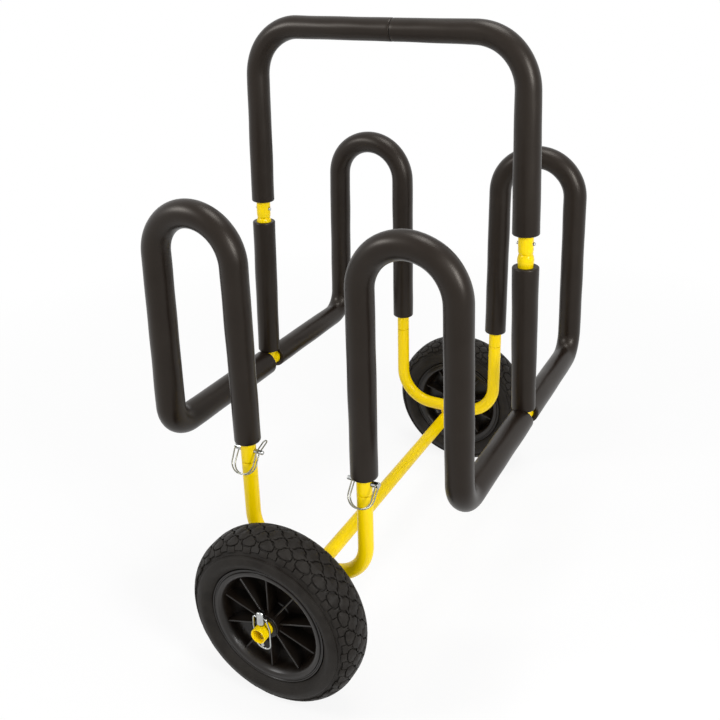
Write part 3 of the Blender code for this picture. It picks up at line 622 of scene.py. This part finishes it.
# Foam sleeves on the hoop. Two lengths that butt in the middle of the top bar, where the seam
# between them shows as a fine line. They are stretched thinner there than at their feet.

HOOP_FOAM_FROM = 0.2910
HOOP_SEAM_X = 0.017
HOOP_SEAM_HALF = 0.0001
HOOP_FOAM_SWELL = {"left": (1.0, 0.90), "right": (1.09, 0.90)}

for name, way in HANDS:
    seam = (HOOP_SEAM_X + way * HOOP_SEAM_HALF, 0, BAR_HEIGHT + UPRIGHT_RISE)
    line = bent_line(
        [on_upright(way, HOOP_FOAM_FROM), on_upright(way, upright), seam], [HOOP_CORNER]
    )
    foam_sleeve(f"hoop_foam_{name}", line, (0, 1, 0), 5 * way, swell=HOOP_FOAM_SWELL[name])

# Spring buttons. Two steel studs at each joint of the hoop, on the ends of a bent strip of spring
# steel inside the spigot, which pushes their round heads out through both tubes.

BUTTON_RADIUS = 0.0025
BUTTON_REACH = 0.0143
BUTTON_DOME = 0.0015
BUTTON_FLANGE_RADIUS = 0.0036
BUTTON_FLANGE_FROM = 0.0056
BUTTON_FLANGE_TO = 0.0066
BUTTON_SIDES = 24

zinc = finish_with(
    "bright zinc plate", depth=0.00003, bump_size=0.2,
    Colour=(0.50, 0.51, 0.50, 1), Other=(0.30, 0.31, 0.31, 1), Amount=0.6, Scale=160,
    Roughness=0.16, Spread=0.05, Fine=1600, Coarse=400, Coarse_Share=0.5, Metallic=1,
)
t = np.linspace(0, np.pi / 2, 6)[:-1]
outline = np.concatenate([
    [(BUTTON_FLANGE_RADIUS, BUTTON_FLANGE_FROM), (BUTTON_FLANGE_RADIUS, BUTTON_FLANGE_TO),
     (BUTTON_RADIUS, BUTTON_FLANGE_TO)],
    np.stack([BUTTON_RADIUS * np.cos(t), BUTTON_REACH - BUTTON_DOME * (1 - np.sin(t))], -1),
])
for name, way in HANDS:
    centre = on_upright(way, BUTTON_RISE)
    for position, facing in (("outer", 1), ("inner", -1)):
        out = facing * out_of_upright(way)
        skin = lathe(centre, out, outline, (0, 1, 0), BUTTON_SIDES, loop=False)
        key = f"button_{name}_{position}"
        dressed(f"spring_{key}", skin, zinc, key)

# Spring clips. Each is one bent strip of blued spring steel, shown as its two arms, which meet in
# the middle of its bend.

CLIP_HALF_WIDTH = 0.003
CLIP_HALF_THICKNESS = 0.0003
CLIP_ROUND = 0.0002
CLIP_FACE = 0.00525
CLIP_RISE = 0.007
CLIP_DEPTH = 0.042
CLIP_FOOT = 0.0016
CLIP_BENDS = [0.0014, 0.007]

spring_steel = finish_with(
    "blued spring steel", depth=0.00005, bump_size=0.3,
    Colour=(0.35, 0.35, 0.36, 1), Other=(0.22, 0.22, 0.24, 1), Amount=0.7, Scale=120,
    Roughness=0.34, Spread=0.08, Fine=1800, Coarse=300, Coarse_Share=0.3, Metallic=1,
)
# A flat section with round edges, as angles and radii about its middle
t = np.linspace(0, np.pi / 2, 4)
quarter = np.stack([
    CLIP_HALF_THICKNESS - CLIP_ROUND * (1 - np.cos(t)),
    CLIP_HALF_WIDTH - CLIP_ROUND * (1 - np.sin(t)),
], -1)
half = np.concatenate([quarter, (quarter * (-1, 1))[::-1]])
strip = np.concatenate([half, (half * (1, -1))[::-1]])
angles, reach = np.arctan2(strip[:, 1], strip[:, 0]), np.hypot(strip[:, 0], strip[:, 1])
for name, way in HANDS:
    middle, up = on_upright(way, BUTTON_RISE), up_the_upright(way)
    bottom = middle - CLIP_DEPTH * up
    for position, facing in (("outer", 1), ("inner", -1)):
        out = facing * out_of_upright(way)
        line = bent_line(
            [bottom, bottom + CLIP_FOOT * out,
             middle - CLIP_RISE * up + CLIP_FACE * out, middle + CLIP_RISE * up + CLIP_FACE * out],
            CLIP_BENDS,
        )
        r = np.tile(reach, (len(line[0]), 1))
        skin = skinned(carried(line, line[0], r, (0, 1, 0), angles), loop=False)
        arm = made(f"button_clip_{name}_{position}_dressed", skin, spring_steel)
        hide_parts(f"button_clip_{name}")
        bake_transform(arm)

# Tyres. Flat-free foamed rubber, moulded in one piece with its tread: three rows of diamonds round
# the crown, an arched row outside them and two sizes of lug on each shoulder. It grips the rim.

WHEEL_Y = 0.342
CROWN_CENTRE = 0.098
CROWN_HALF = 0.0055
CROWN_RADIUS = 0.034
TREAD_CELLS = 28
TREAD_DEPTH = 0.0025
TREAD_PHASE = 0.13
GROOVE_HALF = 0.0009
LUG_GROOVE_HALF = 0.0004
BLOCK_EDGE = 0.0005
BLOCK_ROOT = 0.0004
BLOCK_FLARE = 0.0002
FLANGE_SEAT = 0.0900
TYRE_SIDES = 168
RUBBER = (0.0090, 0.0070, 0.0052, 1)
RUBBER_WORN = (0.0200, 0.0172, 0.0145, 1)

rubber = finish_with(
    "black tyre rubber", depth=0.0004, bump_size=0.6,
    Colour=RUBBER, Other=RUBBER_WORN, Amount=0.9, Scale=60, Roughness=0.58, Spread=0.08,
    Fine=1300, Coarse=260, Coarse_Share=0.4, Specular_IOR_Level=0.17,
)


def tread_point(u, s, lift):
    """Points of the tread about the wheel's centre, u in cells round it, s out from the crown.

    The crown is flat to half its width, then round: with d = (|s| - half) / R, the radius is
    c + (R + lift) cos d and the offset from the wheel's middle half + (R + lift) sin d.
    """
    d = np.clip(np.abs(s) - CROWN_HALF, 0, None) / CROWN_RADIUS
    radius = CROWN_CENTRE + (CROWN_RADIUS + lift) * np.cos(d)
    offset = np.minimum(np.abs(s), CROWN_HALF) + (CROWN_RADIUS + lift) * np.sin(d)
    a = 2 * np.pi * u / TREAD_CELLS
    place = np.broadcast_arrays(radius * np.sin(a), np.sign(s) * offset, radius * np.cos(a))
    return np.stack(place, -1)


# Base body, as degrees round the shoulder and heights: the floor of the grooves across the tread, a
# plain band, a shallow line moulded in it and the smooth side
groove_floor = [(angle, -TREAD_DEPTH) for angle in np.linspace(0, 60, 13)]
band_and_line = [(61.6, -0.0012), (62.2, 0.0), (63.0, 0.0), (64.2, -0.0006), (65.0, -0.0006)]
side_wall = [(angle, 0.0) for angle in np.linspace(67, 82, 6)]
degrees, height = np.array(groove_floor + band_and_line + side_wall).T
out, d = CROWN_RADIUS + height, np.radians(degrees)
shoulder = np.stack([CROWN_CENTRE + out * np.cos(d), CROWN_HALF + out * np.sin(d)], -1)
# From there, as radii and offsets, the side slopes down to the gap at the rim's lip
foot = np.array([
    (0.1002, 0.0388), (0.0980, 0.0377), (0.0958, 0.0360), (0.0938, 0.0341), (0.0922, 0.0323),
    (0.0911, 0.0307), (0.0905, 0.0292), (FLANGE_SEAT, 0.0280), (FLANGE_SEAT, 0.0268),
    (0.0768, 0.0242),
])
half = np.concatenate([shoulder, foot])
section = np.concatenate([half, (half * (1, -1))[::-1]])

# Blocks: outlines in cells round the tyre and metres out from the crown. The corners of the
# diamonds of the first and second row and the tops of the arches lie at the levels.
FIRST_LEVEL, SECOND_LEVEL, ARCH_LEVEL = 0.0120, 0.0211, 0.0293
TREAD_RADIUS = 0.128
PITCH = 2 * np.pi * TREAD_RADIUS / TREAD_CELLS
JOG = 0.0010
ARCH_HALF = 0.39
ARCH_FLANK = 0.0245
LUG_HALF = 0.25
LUG_OVER_END = 0.0381
LUG_BETWEEN_END = 0.0355


def edge(start, end, jog=0.0, until=1.0):
    """Points from start towards end, up to the share until of the way and without that last point.

    An edge with a jog runs that far to the left of the straight in its first half, and as far to
    the right in its second, with a short step between: shares 0, .08, .46, .54 and .92 of the way.
    """
    t, side = np.array([0, 0.08, 0.46, 0.54, 0.92]), np.array([0, 1, 1, -1, -1])
    t, side = t[t < until, None], side[t < until, None]
    start, end = np.array(start), np.array(end)
    way = (end - start) * (PITCH, 1)
    square = np.array([-way[1], way[0]]) / np.linalg.norm(way)
    return start + t * (end - start) + jog * side * square / (PITCH, 1)


corner, beside, beyond, tip = (0, FIRST_LEVEL), (0.5, 0), (1.0, FIRST_LEVEL), (0.5, SECOND_LEVEL)
diamond = np.concatenate([
    edge((0, -FIRST_LEVEL), beside, -JOG), edge(beside, corner, JOG),
    edge(corner, (-0.5, 0), -JOG), edge((-0.5, 0), (0, -FIRST_LEVEL), JOG),
])
second = np.concatenate([
    edge(beside, beyond, -JOG), edge(beyond, tip, JOG), edge(tip, corner, -JOG),
    edge(corner, beside, JOG),
])
# The arch leaves the second row's edge part way along it, and turns straight out to its round top
share = ARCH_HALF / 0.5
foot_level = FIRST_LEVEL + share * (SECOND_LEVEL - FIRST_LEVEL)
t = np.linspace(0, np.pi, 11)
rise = (ARCH_LEVEL - ARCH_FLANK) * np.sin(t)
arch_top = np.stack([ARCH_HALF * np.cos(t), ARCH_FLANK + rise], -1)
right_foot = edge(corner, tip, -JOG / 2, share)
arch = np.concatenate([
    right_foot, [(ARCH_HALF, foot_level)], arch_top, [(-ARCH_HALF, foot_level)],
    (right_foot * (-1, 1))[:0:-1],
])
# One lug stands over each arch, and a shorter one between two arches, down to the second row
lug_foot = np.interp(LUG_HALF, *arch_top[::-1].T)
under_lug = arch_top[np.abs(arch_top[:, 0]) < LUG_HALF]
lug_over = np.concatenate([
    [(LUG_HALF, lug_foot), (LUG_HALF, LUG_OVER_END), (-LUG_HALF, LUG_OVER_END),
     (-LUG_HALF, lug_foot)],
    under_lug[::-1],
])
notch = edge(tip, beyond, -JOG, 1 - share)
flank = arch_top[arch_top[:, 0] > LUG_HALF]
lug_between = np.concatenate([
    notch, [(1 - ARCH_HALF, foot_level)], flank * (-1, 1) + (1, 0),
    [(1 - LUG_HALF, lug_foot), (1 - LUG_HALF, LUG_BETWEEN_END),
     (LUG_HALF, LUG_BETWEEN_END), (LUG_HALF, lug_foot)],
    flank[::-1], [(ARCH_HALF, foot_level)], (notch * (-1, 1) + (1, 0))[:0:-1],
])


def inset(outline, amount):
    """The outline moved inwards by amount.

    Each point goes along the mean of its two edges' inward normals, divided by the cosine of half
    the turn there. The square of that cosine counts as 0.2 at least.
    """
    flat = outline * (PITCH, 1)
    before, after = flat - np.roll(flat, 1, 0), np.roll(flat, -1, 0) - flat
    n1 = np.stack([-before[:, 1], before[:, 0]], -1) / np.linalg.norm(before, axis=1)[:, None]
    n2 = np.stack([-after[:, 1], after[:, 0]], -1) / np.linalg.norm(after, axis=1)[:, None]
    middle = n1 + n2
    middle /= np.clip((middle * middle).sum(1), 0.8, None)[:, None] / 2
    return (flat + amount * middle) / (PITCH, 1)


def tread_blocks(outline, ends, groove):
    """Every block of one outline round the tyre, at each of its ends across it.

    A block has three rings, under the groove's floor, below its edge and on its top, and a fan on
    top. groove is half the width of the groove round it.
    """
    rings = [
        (inset(outline, groove), -TREAD_DEPTH - BLOCK_ROOT),
        (inset(outline, groove + BLOCK_FLARE), -BLOCK_EDGE),
        (inset(outline, groove + BLOCK_FLARE + BLOCK_EDGE), 0.0),
    ]
    middle = rings[-1][0].mean(0)
    count = len(outline)
    rows = [np.c_[ring, np.full(count, lift)] for ring, lift in rings]
    rows = np.concatenate([*rows, [(*middle, 0.0)]])
    cells = TREAD_PHASE + np.arange(TREAD_CELLS)[:, None]
    index = np.arange(3 * count).reshape(3, count)
    beside = np.roll(index, -1, 1)
    quads = np.stack([index[:-1], beside[:-1], beside[1:], index[1:]], -1).reshape(-1, 4)
    fan = np.stack([index[2], beside[2], np.full(count, 3 * count)], -1)
    skins = []
    for end in ends:
        points = tread_point(rows[:, 0] + cells, end * rows[:, 1], rows[:, 2])
        starts = np.arange(TREAD_CELLS)[:, None, None] * len(rows)
        faces = (starts + quads).reshape(-1, 4).tolist()
        faces += (starts + fan).reshape(-1, 3).tolist()
        skins.append(outward(points.reshape(-1, 3), faces))
    return skins


blocks = tread_blocks(diamond, [1], GROOVE_HALF)
for outline in (second, arch):
    blocks += tread_blocks(outline, [1, -1], GROOVE_HALF)
for outline in (lug_over, lug_between):
    blocks += tread_blocks(outline, [1, -1], LUG_GROOVE_HALF)
points, faces = joined(*blocks)

for end, side in ENDS:
    centre = np.array([0, side * WHEEL_Y, AXLE_HEIGHT])
    body = lathe(centre, (0, 1, 0), section, (0, 0, 1), TYRE_SIDES)
    skin = joined(body, (points + centre, faces))
    dressed(f"tyre_{end}", skin, rubber, f"wheel_{end}", sharp=50)

# Rims. Each is one moulding of glossy black plastic: a round lip that holds the tyre, a deep dish
# on both sides of a middle web, ten thin ribs and a hub in which the two bushes are pressed.

RIM_HALF = 0.030
RIM_SIDES = 128
RIM_SECTION = [
    (0.0765, 0.0), (0.0765, 0.0245), (0.0896, 0.0268), (0.0896, 0.0308), (0.0878, 0.0308),
    (0.0870, 0.0294), (0.0854, 0.0294), (0.0845, 0.0314), (0.0785, 0.0314), (0.0740, 0.0240),
    (0.0722, 0.0020), (0.0184, 0.0020), (0.0176, RIM_HALF), (0.0151, RIM_HALF), (0.0151, 0.0),
]
RIM_BENDS = [
    0.001, 0.0006, 0.0009, 0.0008, 0.0006, 0.0006, 0.0014, 0.0060, 0.0200, 0.0150, 0.0030, 0.0010,
    0.0006,
]
RIB_COUNT = 10
RIB_TURN = 18
RIB_HALF = 0.0012
RIB_TOP = 0.0245
RIB_FROM = 0.0165
RIB_TO = 0.0735
PLASTIC = (0.0070, 0.0045, 0.0028, 1)
PLASTIC_DULL = (0.0120, 0.0090, 0.0068, 1)

plastic = finish_with(
    "black moulded plastic", depth=0.0001, bump_size=0.35,
    Colour=PLASTIC, Other=PLASTIC_DULL, Amount=0.5, Scale=40, Roughness=0.32, Spread=0.04,
    Fine=1100, Coarse=150, Coarse_Share=0.5, Specular_IOR_Level=0.38,
)


def rounded(corners, radii):
    """An outline, as rows of a radius and an offset, with all its inner corners rounded."""
    return bent_line([(r, h, 0) for r, h in corners], radii)[1][:, :2]


# From the tyre's seat over the lip into the dish and out along the hub
outline = rounded(RIM_SECTION, RIM_BENDS)
section = np.concatenate([outline[:-1], (outline[1:] * (1, -1))[::-1]])
t = np.linspace(0, np.pi, 7)
rib_end = np.stack([RIB_HALF * np.cos(t), RIB_TOP - RIB_HALF + RIB_HALF * np.sin(t)], -1)
rib = np.concatenate([rib_end, -rib_end])
for end, side in ENDS:
    centre = np.array([0, side * WHEEL_Y, AXLE_HEIGHT])
    shell = lathe(centre, (0, 1, 0), section, (0, 0, 1), RIM_SIDES)
    ribs = []
    for a in np.radians(RIB_TURN + np.arange(RIB_COUNT) * 360 / RIB_COUNT):
        out, beside = np.array([np.cos(a), 0, np.sin(a)]), np.array([-np.sin(a), 0, np.cos(a)])
        r = np.linspace(RIB_FROM, RIB_TO, 5)[:, None, None]
        grid = centre + r * out + rib[:, :1] * beside + rib[:, 1:] * (0, 1, 0)
        ribs.append(skinned(grid, loop=False))
    dressed(f"rim_{end}", joined(shell, *ribs), plastic, f"wheel_{end}")

# Hub bushes. Two flanged sleeves of black nylon are pressed into each hub, one from each side, and
# they turn on the axle. A bush's flange rests on the hub's face.

BUSH_FLANGE = 0.0165
BUSH_FLANGE_FROM = 0.0003
BUSH_FLANGE_TO = 0.0019
BUSH_RADIUS = 0.0148
BUSH_BORE = 0.0114
BUSH_DEPTH = 0.018
BUSH_SIDES = 48

nylon = finish_with(
    "black nylon", depth=0.00008, bump_size=0.35,
    Colour=(0.008, 0.007, 0.0065, 1), Other=(0.014, 0.013, 0.012, 1), Amount=0.5, Scale=90,
    Roughness=0.42, Spread=0.06, Fine=1500, Coarse=300, Coarse_Share=0.4, Specular_IOR_Level=0.3,
)
outline = rounded(
    [(BUSH_FLANGE - 0.002, BUSH_FLANGE_FROM), (BUSH_FLANGE, BUSH_FLANGE_FROM),
     (BUSH_FLANGE, BUSH_FLANGE_TO), (BUSH_BORE, BUSH_FLANGE_TO), (BUSH_BORE, -BUSH_DEPTH),
     (BUSH_RADIUS, -BUSH_DEPTH), (BUSH_RADIUS, BUSH_FLANGE_FROM)],
    [0.0002, 0.0006, 0.0005, 0.0003, 0.0004],
)
for end, side in ENDS:
    for position, facing in (("outer", side), ("inner", -side)):
        face = np.array([0, side * WHEEL_Y + facing * RIM_HALF, AXLE_HEIGHT])
        skin = lathe(face, (0, facing, 0), outline, (0, 0, 1), BUSH_SIDES)
        dressed(f"hub_bush_{end}_{position}", skin, nylon, f"wheel_{end}")

# Axle pins. A plated pin with a tall head drops through the axle outside each hub, and a wire ring
# through its head falls round the tube's end and holds it.

PIN_HEAD_FOOT = 0.1475
PIN_HEAD_TOP = 0.1672
PIN_HEAD_RADIUS = 0.0058
PIN_NECK_RADIUS = 0.0032
PIN_NECK_FOOT = 0.1434
PIN_SHANK_RADIUS = 0.0024
PIN_TIP = 0.1080
RING_PIVOT = 0.1554
RING_WIRE = 0.0012
RING_LEFT = 0.0122
RING_RIGHT = 0.0080
RING_SIDE = 0.0130
RING_FOOT = 0.0108
RING_SHOULDER = 0.016
RING_DROP = 0.0530
RING_SET = 0.0025
RING_BENDS = [0.003, 0.003, 0.012, 0.010, 0.010, 0.012]
RING_HOLE = RING_WIRE + 0.0007
PIN_DRILL = 0.03
PIN_SIDES = 32
POLE = 0.0004

outline = rounded(
    [(POLE, PIN_HEAD_TOP), (PIN_HEAD_RADIUS, PIN_HEAD_TOP), (PIN_HEAD_RADIUS, PIN_HEAD_FOOT),
     (PIN_NECK_RADIUS, PIN_HEAD_FOOT), (PIN_NECK_RADIUS, PIN_NECK_FOOT),
     (PIN_SHANK_RADIUS, PIN_NECK_FOOT), (PIN_SHANK_RADIUS, PIN_TIP), (POLE, PIN_TIP)],
    [0.0042, 0.0008, 0.0005, 0.0005, 0.0003, 0.0016],
)


def wire(corners, radii, radius, across, sides=14):
    """A closed ring of round wire with every corner bent, begun in the middle of its first side."""
    corners = np.array(corners, float)
    start = (corners[0] + corners[1]) / 2
    line = bent_line([start, *corners[1:], corners[0], start], [*radii[1:], radii[0]])
    s = line[0][np.diff(line[0], prepend=-1) > 1e-6]
    return skinned(carried(line, s[:-1], radius, across, sides))


for end, side in ENDS:
    y = side * AXLE_PIN_Y
    skin = lathe(np.array([0, y, 0]), (0, 0, 1), outline, (0, 1, 0), PIN_SIDES, loop=False)
    skin = drilled(skin, (0, y, RING_PIVOT), (1, 0, 0), RING_HOLE, PIN_DRILL, sides=16)
    dressed(f"axle_pin_{end}", skin, zinc, "frame")
    low, foot_y = RING_PIVOT - RING_DROP, y - side * RING_SET
    shoulder = RING_PIVOT - RING_SHOULDER
    corners = [
        (-RING_LEFT, y, RING_PIVOT), (RING_RIGHT, y, RING_PIVOT), (RING_SIDE, y, shoulder),
        (RING_FOOT, foot_y, low), (-RING_FOOT, foot_y, low), (-RING_SIDE, y, shoulder),
    ]
    skin = wire(corners, RING_BENDS, RING_WIRE, (0, 1, 0))
    dressed(f"axle_pin_ring_{end}", skin, zinc, f"axle_ring_{end}")

# Lock pins. A plated pin goes through each near leg and the sleeve in it. Its two-strand wire bail
# swings across under the foam and snaps over the pin's far end, with a tab to pull it open by.

LOCK_HEAD_FROM = 0.0114
LOCK_HEAD_TO = 0.0229
LOCK_HEAD_RADIUS = 0.0042
LOCK_RADIUS = 0.0031
LOCK_TIP = 0.026
BAIL_WIRE = 0.0010
BAIL_HOLE = BAIL_WIRE + 0.0003
BAIL_PIVOT = 0.0195
BAIL_DOWN = (0, -0.56383, -0.82589)
BAIL_BENDS = [0.0022, 0.0167, 0.0167, 0.008, 0.004]
# One strand, in millimetres from the pivot: in along the pin, down from it and to its own side
BAIL_CORNERS = [(0, 0, 5.8), (1.5, 36, 3.4), (37.5, 36, 3.4), (36, 1, 4.5), (44, -18, 4.5)]

# The bail wire's zinc is painted darker and more olive than the pins' bright zinc. This is painted
# shade in its reflection, standing in for surroundings darker than the white ones it reflects here.
bail_zinc = finish_with(
    "dulled zinc wire", depth=0.00003, bump_size=0.2,
    Colour=(0.33, 0.33, 0.28, 1), Other=(0.14, 0.14, 0.11, 1), Amount=0.8, Scale=130,
    Roughness=0.2, Spread=0.06, Fine=1600, Coarse=400, Coarse_Share=0.5, Metallic=1,
)
outline = rounded(
    [(POLE, -LOCK_TIP), (LOCK_RADIUS, -LOCK_TIP), (LOCK_RADIUS, LOCK_HEAD_FROM),
     (LOCK_HEAD_RADIUS, LOCK_HEAD_FROM), (LOCK_HEAD_RADIUS, LOCK_HEAD_TO), (POLE, LOCK_HEAD_TO)],
    [0.0018, 0.0003, 0.0004, 0.0012],
)
for name, way in HANDS:
    middle, out = np.array([way * INNER_X, -BRACKET_Y, LOCK_PIN_HEIGHT]), np.array([way, 0, 0])
    skin = lathe(middle, out, outline, (0, 1, 0), PIN_SIDES, loop=False)
    across = np.cross(-out, BAIL_DOWN)
    pivot = middle + BAIL_PIVOT * out
    skin = drilled(skin, pivot, across, BAIL_HOLE, PIN_DRILL, sides=16)
    dressed(f"lock_pin_{name}", skin, zinc, f"leg_pin_{name}")
    strand = np.array(BAIL_CORNERS) / 1000
    both = np.concatenate([strand, (strand * (1, 1, -1))[::-1]])
    corners = pivot + both @ np.stack([-out, BAIL_DOWN, across])
    skin = wire(corners, BAIL_BENDS + BAIL_BENDS[::-1], BAIL_WIRE, across - out)
    dressed(f"lock_pin_bail_{name}", skin, bail_zinc, f"leg_bail_{name}")

# Floor, light and camera. White paper on the floor, softboxes to the right, left, front and
# overhead, and even light from all round. The camera stands where the photograph was taken, and
# sees the paper and all beyond it as white.

FLOOR_HALF = 40
PAPER_WHITE = (0.96, 0.96, 0.96, 1)
GLOW_FROM, GLOW_TO = 0.6, 1.7
GLOW_NEAR, GLOW_FAR = 0.86, 1.0
ROOM_LIGHT = 0.3
# Place, what it faces, width and height, and power
LAMPS = {
    "right softbox": ((1.95, -1.0, 1.45), (0, 0, 0.6), (0.6, 0.9), 34),
    "left softbox": ((-1.45, -1.4, 1.75), (0, 0, 0.6), (0.6, 0.6), 20),
    "front softbox": ((1.25, -1.9, 1.3), (0, 0, 0.4), (0.8, 0.8), 2),
    "overhead softbox": ((0.2, 0.1, 2.6), (0, 0, 0.5), (0.9, 0.9), 20),
}
AZIMUTH, ELEVATION, ROLL = 0.4657427, 0.3613014, -0.012089
DISTANCE = 1.32182
AIM = np.array([0.00711, 0, 0.50876])
FOCAL_PIXELS = 843.95
CENTRE_X, CENTRE_Y = 390, 280
PICTURE_PIXELS = 720
SENSOR = 36


def seen_white(tree):
    """1 for the rays that have to see plain white: from the camera, by reflection or through."""
    rays = put(tree, "ShaderNodeLightPath").outputs
    seen = rays["Is Camera Ray"]
    for kind in ("Is Glossy Ray", "Is Transmission Ray"):
        seen = put(tree, "ShaderNodeMath", {0: seen, 1: rays[kind]}, operation="MAXIMUM").outputs[0]
    return seen


floor_mesh = bpy.data.meshes.new("floor")
corners = [(x * FLOOR_HALF, y * FLOOR_HALF, 0) for x, y in ((-1, -1), (1, -1), (1, 1), (-1, 1))]
floor_mesh.from_pydata(corners, [], [(0, 1, 2, 3)])
placed("floor", floor_mesh)
paper = bpy.data.materials.new("white paper")
paper.use_nodes = True
tree = paper.node_tree
shader = tree.nodes["Principled BSDF"]
shader.inputs["Base Color"].default_value = PAPER_WHITE
shader.inputs["Roughness"].default_value = 0.9
# Near the cart the paper glows less, so that the soft shadow under it stays to be seen
place = put(tree, "ShaderNodeTexCoord").outputs["Object"]
away = put(tree, "ShaderNodeVectorMath", {0: place}, operation="LENGTH").outputs["Value"]
share = put(
    tree, "ShaderNodeMapRange",
    {"Value": away, "From Min": GLOW_FROM, "From Max": GLOW_TO, "To Min": GLOW_NEAR,
     "To Max": GLOW_FAR},
)
share = put(
    tree, "ShaderNodeMath", {0: seen_white(tree), 1: share.outputs[0]}, operation="MULTIPLY"
)
glow = put(tree, "ShaderNodeEmission", {"Color": (1, 1, 1, 1), "Strength": 1.0})
mix = put(
    tree, "ShaderNodeMixShader", {0: share.outputs[0], 1: shader.outputs[0], 2: glow.outputs[0]}
)
tree.links.new(mix.outputs[0], tree.nodes["Material Output"].inputs["Surface"])
floor_mesh.materials.append(paper)

world = bpy.data.worlds.new("studio")
bpy.context.scene.world = world
world.use_nodes = True
tree = world.node_tree
strength = put(tree, "ShaderNodeMapRange", {"Value": seen_white(tree), "To Min": ROOM_LIGHT})
tree.links.new(strength.outputs[0], tree.nodes["Background"].inputs["Strength"])
tree.nodes["Background"].inputs["Color"].default_value = (1, 1, 1, 1)

for name, (place, aim, size, power) in LAMPS.items():
    lamp = bpy.data.lights.new(name, "AREA")
    lamp.shape = "RECTANGLE"
    lamp.size, lamp.size_y = size
    lamp.energy = power
    box = placed(name, lamp)
    box.location = place
    box.rotation_mode = "QUATERNION"
    box.rotation_quaternion = (Vector(aim) - Vector(place)).to_track_quat("-Z", "Y")

back = np.array([
    np.sin(AZIMUTH) * np.cos(ELEVATION), -np.cos(AZIMUTH) * np.cos(ELEVATION), np.sin(ELEVATION)
])
right = np.cross((0, 0, 1), back)
right /= np.linalg.norm(right)
rolled_right = np.cos(ROLL) * right + np.sin(ROLL) * np.cross(back, right)
rolled_up = np.cross(back, rolled_right)
camera_data = bpy.data.cameras.new("camera")
camera_data.sensor_width = SENSOR
camera_data.lens = FOCAL_PIXELS / PICTURE_PIXELS * SENSOR
camera_data.shift_x = 0.5 - CENTRE_X / PICTURE_PIXELS
camera_data.shift_y = CENTRE_Y / PICTURE_PIXELS - 0.5
camera = placed("camera", camera_data)
columns = np.stack([rolled_right, rolled_up, back, AIM + back * DISTANCE], 1)
camera.matrix_world = Matrix([*columns.tolist(), (0, 0, 0, 1)])
bpy.context.scene.camera = camera
bpy.context.scene.view_settings.view_transform = "Standard"
